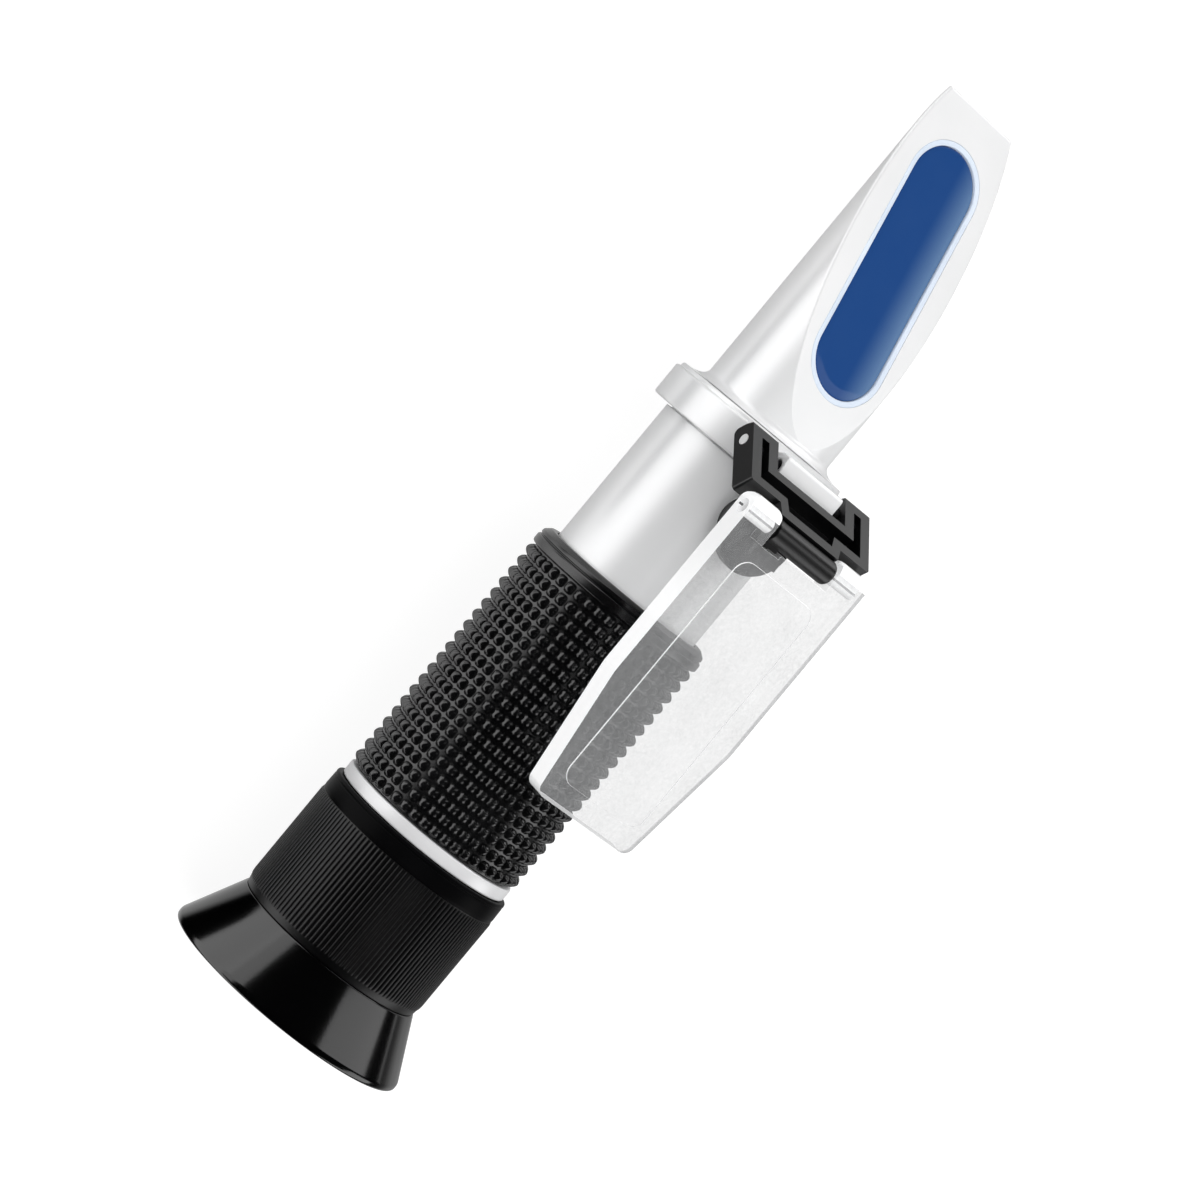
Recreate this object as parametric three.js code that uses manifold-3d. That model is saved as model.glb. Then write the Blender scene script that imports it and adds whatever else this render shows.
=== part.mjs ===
// Hand-held antifreeze refractometer, daylight plate folded back over the tube.
// Millimetres, +Z up. The optical axis lies along X: eyecup at -X, measuring prism at +X.
// Stations are distances along the axis from the eyecup's rim.
import * as THREE from 'three';
import { mergeVertices } from 'three/addons/utils/BufferGeometryUtils.js';
import Module from 'manifold-3d';

const wasm = await Module();
wasm.setup();

// Fits and cutting
const fit = 0.3;              // clearance between pieces that seat on each other
const overrun = 1;            // how far a cut runs past the face it opens
const outerSides = 40;        // flats on the large round pieces
const innerSides = 32;        // flats on the pieces inside
const smallSides = 16;        // flats on pins and screws
const cornerSteps = 4;        // steps in a rounded corner

// Eyecup
const eyecupRadius = 20;
const eyecupLength = 9.8;
const eyecupWall = 1.5;       // at the rim
const eyecupRimRound = 0.6;
const eyecupNeckRadius = 15.4;
const spigotLength = 3.9;     // the ring's nose that the eyecup is stretched over
const spigotRadius = 13;

// Focus ring
const focusRingLength = 20.6;
const focusRingRadius = 15.5;
const fluteCount = 132;
const fluteDepth = 0.25;
const smoothBandLength = 3;
const ringWebLength = 4.2;    // solid nose in front of the tube

// Main tube
const tubeRadius = 12.4;
const tubeBoreRadius = 10.6;
const tubeVisibleLength = 24.2;
const tubeTenonLength = 1.9;  // the turned-down end inside the collar
const tubeTenonRadius = 11.6;

// Trim ring and grip
const trimRingLength = 1.7;
const trimRingRadius = 14.6;
const gripLength = 43.3;
const gripRadius = 14.9;      // over the studs
const gripRowDepth = 0.7;
const gripRowCount = 20;
const gripBandLength = 3.2;   // smooth end next to the bare tube
const gripBandGroove = 0.4;
const gripLeadLength = 0.2;   // smooth start behind the trim ring

// Collar and prism head
const collarLength = 5.9;
const collarRadius = 15;
const collarLipLength = 1.1;
const collarLipStep = 0.4;
const collarFlatHeight = 12.6; // flat on top, measured from the axis
const coveLength = 1.5;
const headSpigotRadius = 9.6; // the head's end that is held in the collar
const headSpigotLength = 2.4;
const headRadius = 10.8;
const headLength = 52.4;      // from the cove to the square end
const headBoreRadius = 6.2;
const headBoreLength = 24;
const headMouthRadius = 8;    // wider start of the bore, for the compensator
const headMouthLength = 3;    // beyond the collar
const faceEndHeight = 7.6;    // depth of the face below the axis at the square end

// Prism
const pocketHalfWidth = 7;
const pocketLength = 42.4;
const pocketDepth = 4;
const pocketStart = 7.4;      // along the face from its upper end
const sealWall = 0.6;
const prismRecess = 0.35;
const prismChamfer = 0.45;

// Lug on the collar and the hinge pin in it
const lugPinSetback = 3;    // behind the collar's front
const lugPinHeight = 17.2;
const lugPinRadius = 0.8;
const lugRadius = 1.7;
const lugTopRound = 0.5;
const lugHalfWidth = 5.8;
const lugRearLength = 2.6;    // from the pin to the lug's rear face
const lugFrontRelief = 0.9;   // how far the front leans back under the pin
const lugEarReach = 4.3;      // the two ears that the folded-back bracket rests on
const lugEarThickness = 1;
const lugEarWidth = 1.8;
const rivetRadius = 0.65;
const rivetLength = 3.4;
const rivetSpacing = 7.4;
const rivetSetback = 2.8;     // behind the collar's front

// Hinge bracket, flat on the face that shows when the plate is folded back
const bracketTilt = THREE.MathUtils.degToRad(54);
const bracketThickness = 3.5;
const bracketHalfWidth = 12.3;
const bracketReach = 9.8;     // from the arms' tips to the wide part's back edge
const bracketNotchDepth = 5;
const bracketNotchHalfWidth = 7.1;
const bracketTongueHalfWidth = 6;
const bracketTongueReach = 11.4;
const bracketTongueFlare = 0.45;
const bracketWall = 1.4;
const bracketDeck = 1.1;
const pinBossReach = 1.3;     // solid round the lug pin, behind it
const pinBossDepth = 0.65;    // how far that lies under the face
const bracketCornerRadius = 0.5;
const pinSeatReach = 11.4;    // between the two hinge pins, along the bracket
const pinSeatDrop = 0.2;      // how much further the barrel lies behind the face
const barrelRadius = 1.85;
const barrelHalfLength = 6.15;
const webThickness = 1.5;
const stopStepLength = 2.9;   // step at one end of the barrel
const stopStepReach = 2.4;
const stopStepThickness = 1.6;
const stopTabReach = 4;       // tab under the plate that holds it level
const stopTabThickness = 0.9;

// Daylight plate
const plateHalfWidth = 12;
const plateThickness = 3.7;
const plateReach = 47.7;      // from the pin to the free end
const plateTaperStart = 28.2;
const plateEndHalfWidth = 9.2;
const plateCornerRadius = 1.6;
const plateEarRadius = 2.6;
const plateSlotReach = 2.1;   // how far the cut-out between the ears runs past the pin
const padHalfWidth = 7.7;
const padStart = 5.2;
const padLength = 39;
const padRise = 0.2;
const padCornerRadius = 2.2;
const platePinRadius = 0.8;
const pinTrim = 0.5;          // how far a pin stays below the faces at its ends

// Calibration screw and its rubber cap
const capSetback = 6.25;      // from the cap's centre to the collar
const capRadius = 5.95;
const capTopHeight = 17.4;
const capBrimThickness = 2.5; // above the neck
const capNeckRadius = 4.3;
const capRound = 0.6;
const bossRadius = 3.4;
const bossTopHeight = 14.6;
const calibrationRadius = 2.4;
const calibrationHeadLength = 1.3;
const calibrationShankRadius = 1.2;
const calibrationSlotWidth = 0.7;
const calibrationSlotDepth = 0.6;

// Eyepiece cell and lenses
const cellRadius = 10.3;
const cellWall = 1;
const cellLength = 18;
const cellLead = 2.4;         // behind the eyecup's neck
const cellShoulderLength = 1;
const cellShoulderWidth = 0.7;
const retainerLength = 1.6;
const retainerWidth = 1.5;
const eyeLensEdge = 1.6;
const eyeLensBulge = 1.1;
const spacerLength = 4.2;
const spacerWall = 0.8;
const fieldLensEdge = 1.5;
const fieldLensBulge = 0.9;
const guidePinRadius = 0.9;
const guidePinInset = 6.1;    // from the tube's front end
const guideSlotLength = 5.2;
const guideGrooveDepth = 0.6;

// Reticle, stop, objective and temperature compensator
const reticleInset = 11.2;    // behind the grip's start
const reticleRingLength = 5;
const reticleRingWall = 2.1;
const reticleGlassThickness = 1.5;
const stopDiscSetback = 35;   // from the collar
const stopDiscThickness = 2;
const stopDiscHoleRadius = 6;
const objectiveSetback = 12;  // from the calibration screw's axis
const objectiveRadius = 7;
const objectiveEdge = 1.6;
const objectiveBulge = 1.2;
const objectiveCellWall = 1.2;
const objectiveCellLength = 5;
const stripWidth = 5;
const stripThickness = 0.6;
const stripHeight = 8.6;      // underside above the axis, inside the tube
const stripScrewRadius = 1.1;
const stripScrewHeadRadius = 1.9;
const stripScrewHeadLength = 1;
const stripBlockLength = 4;

// Places that follow from the sizes
const focusRingStart = eyecupLength + fit;
const trimRingStart = focusRingStart + focusRingLength + fit;
const gripStart = trimRingStart + trimRingLength + fit;
const gripEnd = gripStart + gripLength;
const tubeStart = focusRingStart + ringWebLength + fit;
const collarStart = gripEnd + tubeVisibleLength;
const collarEnd = collarStart + collarLength;
const headStart = collarEnd + coveLength;
const headEnd = headStart + headLength;
const faceStart = headStart;
const faceSlope = Math.atan2(headRadius + faceEndHeight, headEnd - faceStart);
const middle = headEnd / 2;
const axisHeight = eyecupRadius * Math.cos(Math.PI / outerSides);
const tubeEnd = collarStart + tubeTenonLength;
const lugPinStation = collarEnd - lugPinSetback;
const capStation = collarStart - capSetback;
const stripScrewStation = tubeEnd - fit - stripBlockLength / 2;
const objectiveStation = capStation - objectiveSetback;
const stopDiscStation = collarStart - stopDiscSetback;
const reticleStation = gripStart + reticleInset;
const guidePinStation = tubeStart + guidePinInset;
const cellStart = eyecupLength - cellLead;

// Building blocks. A solid here is a manifold, joined and cut before it becomes a mesh.
function toSolid(geometry) {
  let shape = geometry.index ? geometry.toNonIndexed() : geometry;
  for (const name of Object.keys(shape.attributes)) {
    if (name !== 'position') shape.deleteAttribute(name);
  }
  shape = mergeVertices(shape, 1e-4);
  const corners = [];
  const index = shape.index.array;
  for (let i = 0; i < index.length; i += 3) {
    const [a, b, c] = [index[i], index[i + 1], index[i + 2]];
    if (a !== b && b !== c && c !== a) corners.push(a, b, c);
  }
  const points = shape.attributes.position.array;
  let volume = 0;
  const [p, q, r] = [new THREE.Vector3(), new THREE.Vector3(), new THREE.Vector3()];
  for (let i = 0; i < corners.length; i += 3) {
    p.fromArray(points, corners[i] * 3);
    q.fromArray(points, corners[i + 1] * 3);
    r.fromArray(points, corners[i + 2] * 3);
    volume += p.dot(q.cross(r));
  }
  if (volume < 0) corners.reverse();
  return new wasm.Manifold(new wasm.Mesh({
    numProp: 3,
    vertProperties: new Float32Array(points),
    triVerts: new Uint32Array(corners),
  }));
}

// A closed outline of [station, radius] pairs turned about the optical axis
function turned(outline, sides = outerSides) {
  const profile = outline.map(([along, radius]) => new THREE.Vector2(radius, along));
  profile.push(profile[0].clone());
  const geometry = new THREE.LatheGeometry(profile, sides, Math.PI / sides);
  geometry.rotateZ(-Math.PI / 2);
  return toSolid(geometry);
}

// The same, about an upright axis: pairs are [height, radius]
function turnedUpright(outline, sides, station) {
  const profile = outline.map(([height, radius]) => new THREE.Vector2(radius, height));
  profile.push(profile[0].clone());
  const geometry = new THREE.LatheGeometry(profile, sides, Math.PI / sides);
  geometry.rotateX(Math.PI / 2);
  geometry.translate(station, 0, 0);
  return toSolid(geometry);
}

function tubeBetween(start, end, outer, inner, sides = outerSides) {
  return turned([[start, inner], [end, inner], [end, outer], [start, outer]], sides);
}

function discBetween(start, end, radius, sides = outerSides) {
  return turned([[start, 0], [end, 0], [end, radius], [start, radius]], sides);
}

function block(fromX, toX, fromY, toY, fromZ, toZ) {
  const geometry = new THREE.BoxGeometry(toX - fromX, toY - fromY, toZ - fromZ);
  geometry.translate((fromX + toX) / 2, (fromY + toY) / 2, (fromZ + toZ) / 2);
  return toSolid(geometry);
}

// A rod across the instrument, along Y
function crossRod(x, z, radius, fromY, toY, sides = smallSides) {
  const geometry = new THREE.CylinderGeometry(radius, radius, toY - fromY, sides);
  geometry.rotateY(Math.PI / sides);
  geometry.translate(x, (fromY + toY) / 2, z);
  return toSolid(geometry);
}

// A plan outline in X and Y, thickened along Z
function slab(shape, fromZ, toZ) {
  const geometry = new THREE.ExtrudeGeometry(shape, {
    depth: toZ - fromZ, bevelEnabled: false, curveSegments: cornerSteps,
  });
  geometry.translate(0, 0, fromZ);
  return toSolid(geometry);
}

// A side outline in X and Z, thickened along Y
function sideSlab(shape, fromY, toY) {
  const geometry = new THREE.ExtrudeGeometry(shape, {
    depth: toY - fromY, bevelEnabled: false, curveSegments: smallSides / 2,
  });
  geometry.rotateX(Math.PI / 2);
  geometry.translate(0, toY, 0);
  return toSolid(geometry);
}

// A closed plan outline whose corners are rounded, each by its own radius
function roundedShape(corners) {
  const shape = new THREE.Shape();
  const count = corners.length;
  corners.forEach(([x, y, radius = 0], i) => {
    const here = new THREE.Vector2(x, y);
    const before = new THREE.Vector2(...corners[(i + count - 1) % count]);
    const after = new THREE.Vector2(...corners[(i + 1) % count]);
    const from = here.clone().add(before.sub(here).setLength(radius));
    const to = here.clone().add(after.sub(here).setLength(radius));
    if (i === 0) shape.moveTo(from.x, from.y);
    else shape.lineTo(from.x, from.y);
    if (radius > 0) shape.quadraticCurveTo(x, y, to.x, to.y);
  });
  shape.closePath();
  return shape;
}

// A shape with two parallel sides and two half-round ends, centred on the origin
function stadium(length, halfWidth) {
  const straight = length / 2 - halfWidth;
  const shape = new THREE.Shape();
  shape.moveTo(-straight, -halfWidth);
  shape.lineTo(straight, -halfWidth);
  shape.absarc(straight, 0, halfWidth, -Math.PI / 2, Math.PI / 2, false);
  shape.lineTo(-straight, halfWidth);
  shape.absarc(-straight, 0, halfWidth, Math.PI / 2, Math.PI * 3 / 2, false);
  return shape;
}

// A slab with half-round ends, its ends stepped finely enough for a prism window
function stadiumSlab(length, halfWidth, fromZ, toZ) {
  const geometry = new THREE.ExtrudeGeometry(stadium(length, halfWidth), {
    depth: toZ - fromZ, bevelEnabled: false, curveSegments: smallSides,
  });
  geometry.translate(0, 0, fromZ);
  return toSolid(geometry);
}

function turnedAndMoved(solid, angle, x, z) {
  return solid.rotate([0, THREE.MathUtils.radToDeg(angle), 0]).translate([x, 0, z]);
}

const instrument = new THREE.Group();
instrument.name = 'instrument';
instrument.position.set(-middle, 0, axisHeight);

// One named piece; parent is the group that carries it
function piece(name, solid, look, parent = instrument) {
  const { vertProperties, triVerts } = solid.getMesh();
  const geometry = new THREE.BufferGeometry();
  geometry.setAttribute('position', new THREE.BufferAttribute(new Float32Array(vertProperties), 3));
  geometry.setIndex(new THREE.BufferAttribute(new Uint32Array(triVerts), 1));
  geometry.computeVertexNormals();
  const mesh = new THREE.Mesh(geometry, look.clone());
  mesh.name = name;
  parent.add(mesh);
  return mesh;
}

function look(color, roughness, metalness = 0) {
  return new THREE.MeshStandardMaterial({ color, roughness, metalness });
}

const blackRubber = look(0x111113, 0.32);
const gripRubber = look(0x17181a, 0.55);
const blackPlastic = look(0x0d0d0e, 0.4);
const satinMetal = look(0xd9dadc, 0.3, 1);
const brightMetal = look(0xe8e8ea, 0.2, 1);
const blackMetal = look(0x1c1c1e, 0.45, 1);
const brass = look(0xb98d45, 0.4, 1);
const clearGlass = look(0xdfe8ee, 0.05);
const blueGlass = look(0x1f4f92, 0.08);
const clearPlastic = look(0xe9edf0, 0.15);
const sealRubber = look(0xb9c6d2, 0.4);

// Eyecup: a flared rubber cone stretched over the focus ring's spigot
const spigotStart = focusRingStart - spigotLength;
const eyecupSeatRadius = spigotRadius + fit;
piece('eyecup', turned([
  [0, eyecupRadius - eyecupWall],
  [0, eyecupRadius - eyecupRimRound],
  [eyecupRimRound, eyecupRadius],
  [eyecupLength, eyecupNeckRadius],
  [eyecupLength, eyecupSeatRadius],
  [spigotStart - fit, eyecupSeatRadius],
]), blackRubber);

// Focus ring: fluted sleeve, a smooth band at its rear and a solid web at its front
const fluteLength = focusRingLength - smoothBandLength;
const fluteShape = new THREE.Shape();
for (let i = 0; i < fluteCount; i += 1) {
  for (const [step, radius] of [[0, focusRingRadius], [0.5, focusRingRadius - fluteDepth]]) {
    const angle = (i + step) / fluteCount * Math.PI * 2;
    const [y, z] = [radius * Math.cos(angle), radius * Math.sin(angle)];
    if (i === 0 && step === 0) fluteShape.moveTo(y, z);
    else fluteShape.lineTo(y, z);
  }
}
fluteShape.closePath();
const fluteGeometry = new THREE.ExtrudeGeometry(fluteShape, { depth: fluteLength, bevelEnabled: false });
fluteGeometry.rotateY(Math.PI / 2);
fluteGeometry.translate(focusRingStart, 0, 0);
const focusRingEnd = focusRingStart + focusRingLength;
const ringBoreRadius = tubeRadius + fit;
const webBoreRadius = cellRadius + fit;
const ringBore = turned([
  [spigotStart - overrun, 0],
  [focusRingEnd + overrun, 0],
  [focusRingEnd + overrun, ringBoreRadius],
  [focusRingStart + ringWebLength, ringBoreRadius],
  [focusRingStart + ringWebLength, webBoreRadius],
  [spigotStart - overrun, webBoreRadius],
], innerSides);
piece('focus_ring', toSolid(fluteGeometry)
  .add(discBetween(spigotStart, focusRingStart + fluteDepth, spigotRadius))
  .add(discBetween(focusRingEnd - smoothBandLength - fluteDepth, focusRingEnd, focusRingRadius - fluteDepth))
  .subtract(ringBore), blackRubber);

// Main tube, from inside the focus ring to its tenon in the collar
const capAxisCut = turnedUpright([
  [0, 0], [capTopHeight, 0], [capTopHeight, bossRadius + fit], [0, bossRadius + fit],
], innerSides, capStation);
const guideSlot = block(
  guidePinStation - guideSlotLength / 2, guidePinStation + guideSlotLength / 2,
  -guidePinRadius - fit, guidePinRadius + fit, 0, cellRadius - cellWall - fit,
);
const tube = turned([
  [tubeStart, tubeBoreRadius],
  [tubeEnd, tubeBoreRadius],
  [tubeEnd, tubeTenonRadius],
  [collarStart - fit, tubeTenonRadius],
  [collarStart - fit, tubeRadius],
  [tubeStart, tubeRadius],
]);
const guidePinTop = tubeRadius - fit;
const guideHole = turnedUpright([
  [cellRadius - cellWall, 0], [tubeRadius + overrun, 0],
  [tubeRadius + overrun, guidePinRadius + fit], [cellRadius - cellWall, guidePinRadius + fit],
], smallSides, guidePinStation);
const stripScrewHole = turnedUpright([
  [0, 0], [tubeRadius, 0], [tubeRadius, stripScrewRadius + fit], [0, stripScrewRadius + fit],
], smallSides, stripScrewStation);
piece('main_tube', tube.subtract(capAxisCut).subtract(guideHole).subtract(stripScrewHole), satinMetal);

// Guide pin: set in the tube, it keys the eyepiece cell so that the cell slides without turning
piece('guide_pin', turnedUpright([
  [cellRadius - guideGrooveDepth + fit, 0], [guidePinTop, 0],
  [guidePinTop, guidePinRadius], [cellRadius - guideGrooveDepth + fit, guidePinRadius],
], smallSides, guidePinStation), brass);

piece('trim_ring', tubeBetween(
  trimRingStart, trimRingStart + trimRingLength, trimRingRadius, ringBoreRadius,
), brightMetal);

// Grip sleeve: rows of studs stand as ribs, with a grooved smooth band at the rear end
const gripRowPitch = (gripLength - gripBandLength - gripLeadLength) / gripRowCount;
const gripOutline = [[gripStart, gripRadius - gripRowDepth], [gripStart, ringBoreRadius]];
gripOutline.push([gripEnd, ringBoreRadius]);
gripOutline.push([gripEnd, gripRadius - gripBandGroove]);
gripOutline.push([gripEnd - gripBandGroove, gripRadius]);
const gripBandMiddle = gripEnd - gripBandLength / 2;
gripOutline.push([gripBandMiddle + gripBandGroove, gripRadius]);
gripOutline.push([gripBandMiddle, gripRadius - gripBandGroove]);
gripOutline.push([gripBandMiddle - gripBandGroove, gripRadius]);
gripOutline.push([gripEnd - gripBandLength + gripBandGroove, gripRadius]);
for (let row = gripRowCount - 1; row >= 0; row -= 1) {
  const rowStart = gripStart + gripLeadLength + row * gripRowPitch;
  gripOutline.push([rowStart + gripRowPitch, gripRadius - gripRowDepth]);
  gripOutline.push([rowStart + gripRowPitch / 2, gripRadius]);
}
gripOutline.push([gripStart + gripLeadLength, gripRadius - gripRowDepth]);
piece('grip_sleeve', turned(gripOutline), gripRubber);

// Collar: takes the tube's tenon from behind and the head's spigot from the front
const tenonSocketEnd = tubeEnd + fit;
const collarOuter = turned([
  [collarStart, 0],
  [collarEnd, 0],
  [collarEnd, collarRadius - collarLipStep],
  [collarEnd - collarLipLength, collarRadius - collarLipStep],
  [collarEnd - collarLipLength, collarRadius],
  [collarStart, collarRadius],
]);
const collarBore = turned([
  [collarStart - overrun, 0],
  [collarEnd + overrun, 0],
  [collarEnd + overrun, headSpigotRadius + fit],
  [tenonSocketEnd, headSpigotRadius + fit],
  [tenonSocketEnd, tubeTenonRadius + fit],
  [collarStart - overrun, tubeTenonRadius + fit],
]);
const collarFlat = block(
  collarStart - overrun, collarEnd + overrun, -collarRadius, collarRadius, collarFlatHeight, collarRadius * 2,
);
const rivetStation = collarEnd - rivetSetback;
const lugBase = collarFlatHeight + fit;
function rivetSolid(side, extra) {
  const geometry = new THREE.CylinderGeometry(
    rivetRadius + extra, rivetRadius + extra, rivetLength + 2 * extra, smallSides,
  );
  geometry.rotateX(Math.PI / 2);
  geometry.translate(rivetStation, side * rivetSpacing / 2, lugBase);
  return toSolid(geometry);
}
piece('collar', collarOuter.subtract(collarBore).subtract(collarFlat)
  .subtract(rivetSolid(1, fit)).subtract(rivetSolid(-1, fit)), satinMetal);

// Prism head: spigot, cove and round head in one turning, cut by the sloping face
const coveShare = 0.3;        // where the cove's middle point lies
const headOuter = turned([
  [collarEnd - headSpigotLength, 0],
  [headEnd, 0],
  [headEnd, headRadius],
  [headStart, headRadius],
  [collarEnd + fit + coveLength * coveShare, headRadius + coveLength * coveShare],
  [collarEnd + fit, headRadius + coveLength],
  [collarEnd + fit, headSpigotRadius],
  [collarEnd - headSpigotLength, headSpigotRadius],
]);
const headBore = turned([
  [collarEnd - headSpigotLength - overrun, 0],
  [headStart + headBoreLength, 0],
  [headStart + headBoreLength, headBoreRadius],
  [collarEnd + headMouthLength, headBoreRadius],
  [collarEnd + headMouthLength, headMouthRadius],
  [collarEnd - headSpigotLength - overrun, headMouthRadius],
], innerSides);

// The face's own frame: origin at its upper end, X down the slope, Z out of the face
function onFace(solid) {
  return turnedAndMoved(solid, faceSlope, faceStart, headRadius);
}
const faceLength = (headEnd - faceStart) / Math.cos(faceSlope);
const faceCut = onFace(block(
  -faceLength, faceLength + headRadius, -collarRadius, collarRadius, 0, headRadius * 2,
)).subtract(block(
  0, headStart - fit, -collarRadius * 2, collarRadius * 2, -collarRadius * 2, collarRadius * 2,
));
const pocketMiddle = pocketStart + pocketLength / 2;
const pocket = onFace(stadiumSlab(pocketLength, pocketHalfWidth, -pocketDepth, overrun)
  .translate([pocketMiddle, 0, 0]));
piece('prism_head', headOuter.subtract(headBore).subtract(faceCut).subtract(pocket), satinMetal);

// Seal that lines the pocket, and the prism inside it
const sealHalfWidth = pocketHalfWidth - fit;
const sealLength = pocketLength - fit * 2;
const prismHalfWidth = sealHalfWidth - sealWall - fit;
const prismLength = sealLength - (sealWall + fit) * 2;
const sealBottom = -pocketDepth + fit;
piece('prism_seal', onFace(stadiumSlab(sealLength, sealHalfWidth, sealBottom, 0)
  .subtract(stadiumSlab(sealLength - sealWall * 2, sealHalfWidth - sealWall, sealBottom - overrun, overrun))
  .translate([pocketMiddle, 0, 0])), sealRubber);
piece('prism', onFace(stadiumSlab(prismLength, prismHalfWidth, sealBottom, -prismRecess - prismChamfer)
  .add(stadiumSlab(prismLength - prismChamfer * 2, prismHalfWidth - prismChamfer,
    -prismRecess - prismChamfer * 2, -prismRecess))
  .translate([pocketMiddle, 0, 0])), blueGlass);

// Lug on the collar's flat, with the pin that the bracket swings on
// Its outlines are drawn about the pin; the ears' tops run along the bracket's back
const alongBracket = new THREE.Vector2(-Math.cos(bracketTilt), Math.sin(bracketTilt));
const behindBracket = new THREE.Vector2(-Math.sin(bracketTilt), -Math.cos(bracketTilt));
const lugLow = lugBase - lugPinHeight;
function sideOutline(points) {
  const shape = new THREE.Shape();
  points.forEach((point, i) => (i ? shape.lineTo(point.x, point.y) : shape.moveTo(point.x, point.y)));
  shape.closePath();
  return shape;
}
const lugShape = roundedShape([
  [-lugRearLength, lugLow], [lugRadius - lugFrontRelief, lugLow], [lugRadius, -lugRadius],
  [lugRadius, lugRadius, lugTopRound], [-lugRadius, lugRadius, lugTopRound],
  [-lugRadius, 0], [-lugRearLength, -lugRadius],
]);
const earRest = behindBracket.clone().multiplyScalar(bracketThickness / 2 + fit);
const earTip = earRest.clone().addScaledVector(alongBracket, lugEarReach);
const earShoulder = earTip.clone().addScaledVector(behindBracket, lugEarThickness);
const lugEarShape = sideOutline([
  new THREE.Vector2(0, lugLow), earRest, earTip, earShoulder,
  new THREE.Vector2(-lugRearLength, -lugRadius), new THREE.Vector2(-lugRearLength, lugLow),
]);
const lug = sideSlab(lugShape, -lugHalfWidth, lugHalfWidth)
  .add(sideSlab(lugEarShape, lugHalfWidth - lugEarWidth, lugHalfWidth))
  .add(sideSlab(lugEarShape, -lugHalfWidth, -lugHalfWidth + lugEarWidth))
  .translate([lugPinStation, 0, lugPinHeight])
  .subtract(crossRod(lugPinStation, lugPinHeight, lugPinRadius + fit, -collarRadius, collarRadius))
  .subtract(rivetSolid(1, fit)).subtract(rivetSolid(-1, fit));
piece('hinge_lug', lug, satinMetal);
piece('lug_rivet_left', rivetSolid(1, 0), brightMetal);
piece('lug_rivet_right', rivetSolid(-1, 0), brightMetal);
piece('bracket_pin', crossRod(
  lugPinStation, lugPinHeight, lugPinRadius,
  -bracketHalfWidth + pinTrim, bracketHalfWidth - pinTrim,
), brightMetal);

// Bracket's own frame: origin on the lug pin, X down towards the tips, Z out of the hollow face
const tipReach = bracketThickness / 2;
const faceZ = bracketThickness / 2;
const wideBack = tipReach - bracketReach;
const tongueBack = tipReach - bracketTongueReach;
const notchBack = tipReach - bracketNotchDepth;
function bracketOutline(inset) {
  const armInner = bracketNotchHalfWidth + inset;
  const wide = bracketHalfWidth - inset;
  const tongue = bracketTongueHalfWidth - inset;
  const tip = tipReach - inset;
  const round = inset > 0 ? 0 : bracketCornerRadius;
  return roundedShape([
    [tip, armInner], [tip, wide], [wideBack + inset, wide, round],
    [wideBack + inset, tongue + bracketTongueFlare], [tongueBack + inset, tongue],
    [tongueBack + inset, -tongue], [wideBack + inset, -tongue - bracketTongueFlare],
    [wideBack + inset, -wide, round], [tip, -wide], [tip, -armInner],
    [notchBack - inset, -armInner], [notchBack - inset, armInner],
  ]);
}
const tipShape = new THREE.Shape();
tipShape.moveTo(-bracketReach - bracketThickness * 2, -faceZ);
tipShape.lineTo(0, -faceZ);
tipShape.absarc(0, 0, faceZ, -Math.PI / 2, 0, false);
tipShape.lineTo(tipReach, faceZ);
tipShape.lineTo(-bracketReach - bracketThickness * 2, faceZ);
tipShape.closePath();
const bracketBody = slab(bracketOutline(0), -faceZ, faceZ)
  .intersect(sideSlab(tipShape, -bracketHalfWidth - overrun, bracketHalfWidth + overrun));
const bracketHollow = slab(bracketOutline(bracketWall), -faceZ + bracketDeck, faceZ + overrun)
  .subtract(block(-pinBossReach, tipReach + overrun, -bracketHalfWidth, bracketHalfWidth, -faceZ, faceZ - pinBossDepth));
const barrelX = -pinSeatReach;
const barrelZ = -pinSeatDrop;
const barrel = crossRod(barrelX, barrelZ, barrelRadius, -barrelHalfLength, barrelHalfLength, smallSides * 2);
const web = block(
  barrelX, tongueBack + bracketWall, -barrelHalfLength, barrelHalfLength,
  barrelZ - webThickness / 2, barrelZ + webThickness / 2,
);
// The step and the tab beside the barrel are level when the plate lies folded back
const stopStep = block(
  -stopStepReach, 0, barrelHalfLength - stopStepLength, barrelHalfLength,
  -stopStepThickness / 2, stopStepThickness / 2,
);
const stopTabTop = -plateThickness / 2 - fit;
const stopTab = block(
  -stopTabReach, 0, -barrelHalfLength / 2, barrelHalfLength / 2,
  stopTabTop - stopTabThickness, stopTabTop,
).add(block(
  -barrelRadius / 2, barrelRadius / 2, -barrelHalfLength / 2, barrelHalfLength / 2,
  stopTabTop - stopTabThickness, 0,
));
const stops = turnedAndMoved(stopStep.add(stopTab), -bracketTilt, barrelX, barrelZ);
const bracket = bracketBody.subtract(bracketHollow).add(barrel).add(web).add(stops)
  .subtract(crossRod(barrelX, barrelZ, platePinRadius + fit, -collarRadius, collarRadius))
  .subtract(crossRod(0, 0, lugPinRadius + fit, -collarRadius, collarRadius));
const bracketFrame = new THREE.Group();
bracketFrame.position.set(lugPinStation, 0, lugPinHeight);
bracketFrame.rotation.y = bracketTilt;
instrument.add(bracketFrame);
piece('hinge_bracket', bracket, blackPlastic, bracketFrame);
piece('plate_pin', crossRod(
  barrelX, barrelZ, platePinRadius, -plateHalfWidth + pinTrim, plateHalfWidth - pinTrim,
), brightMetal, bracketFrame);

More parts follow.
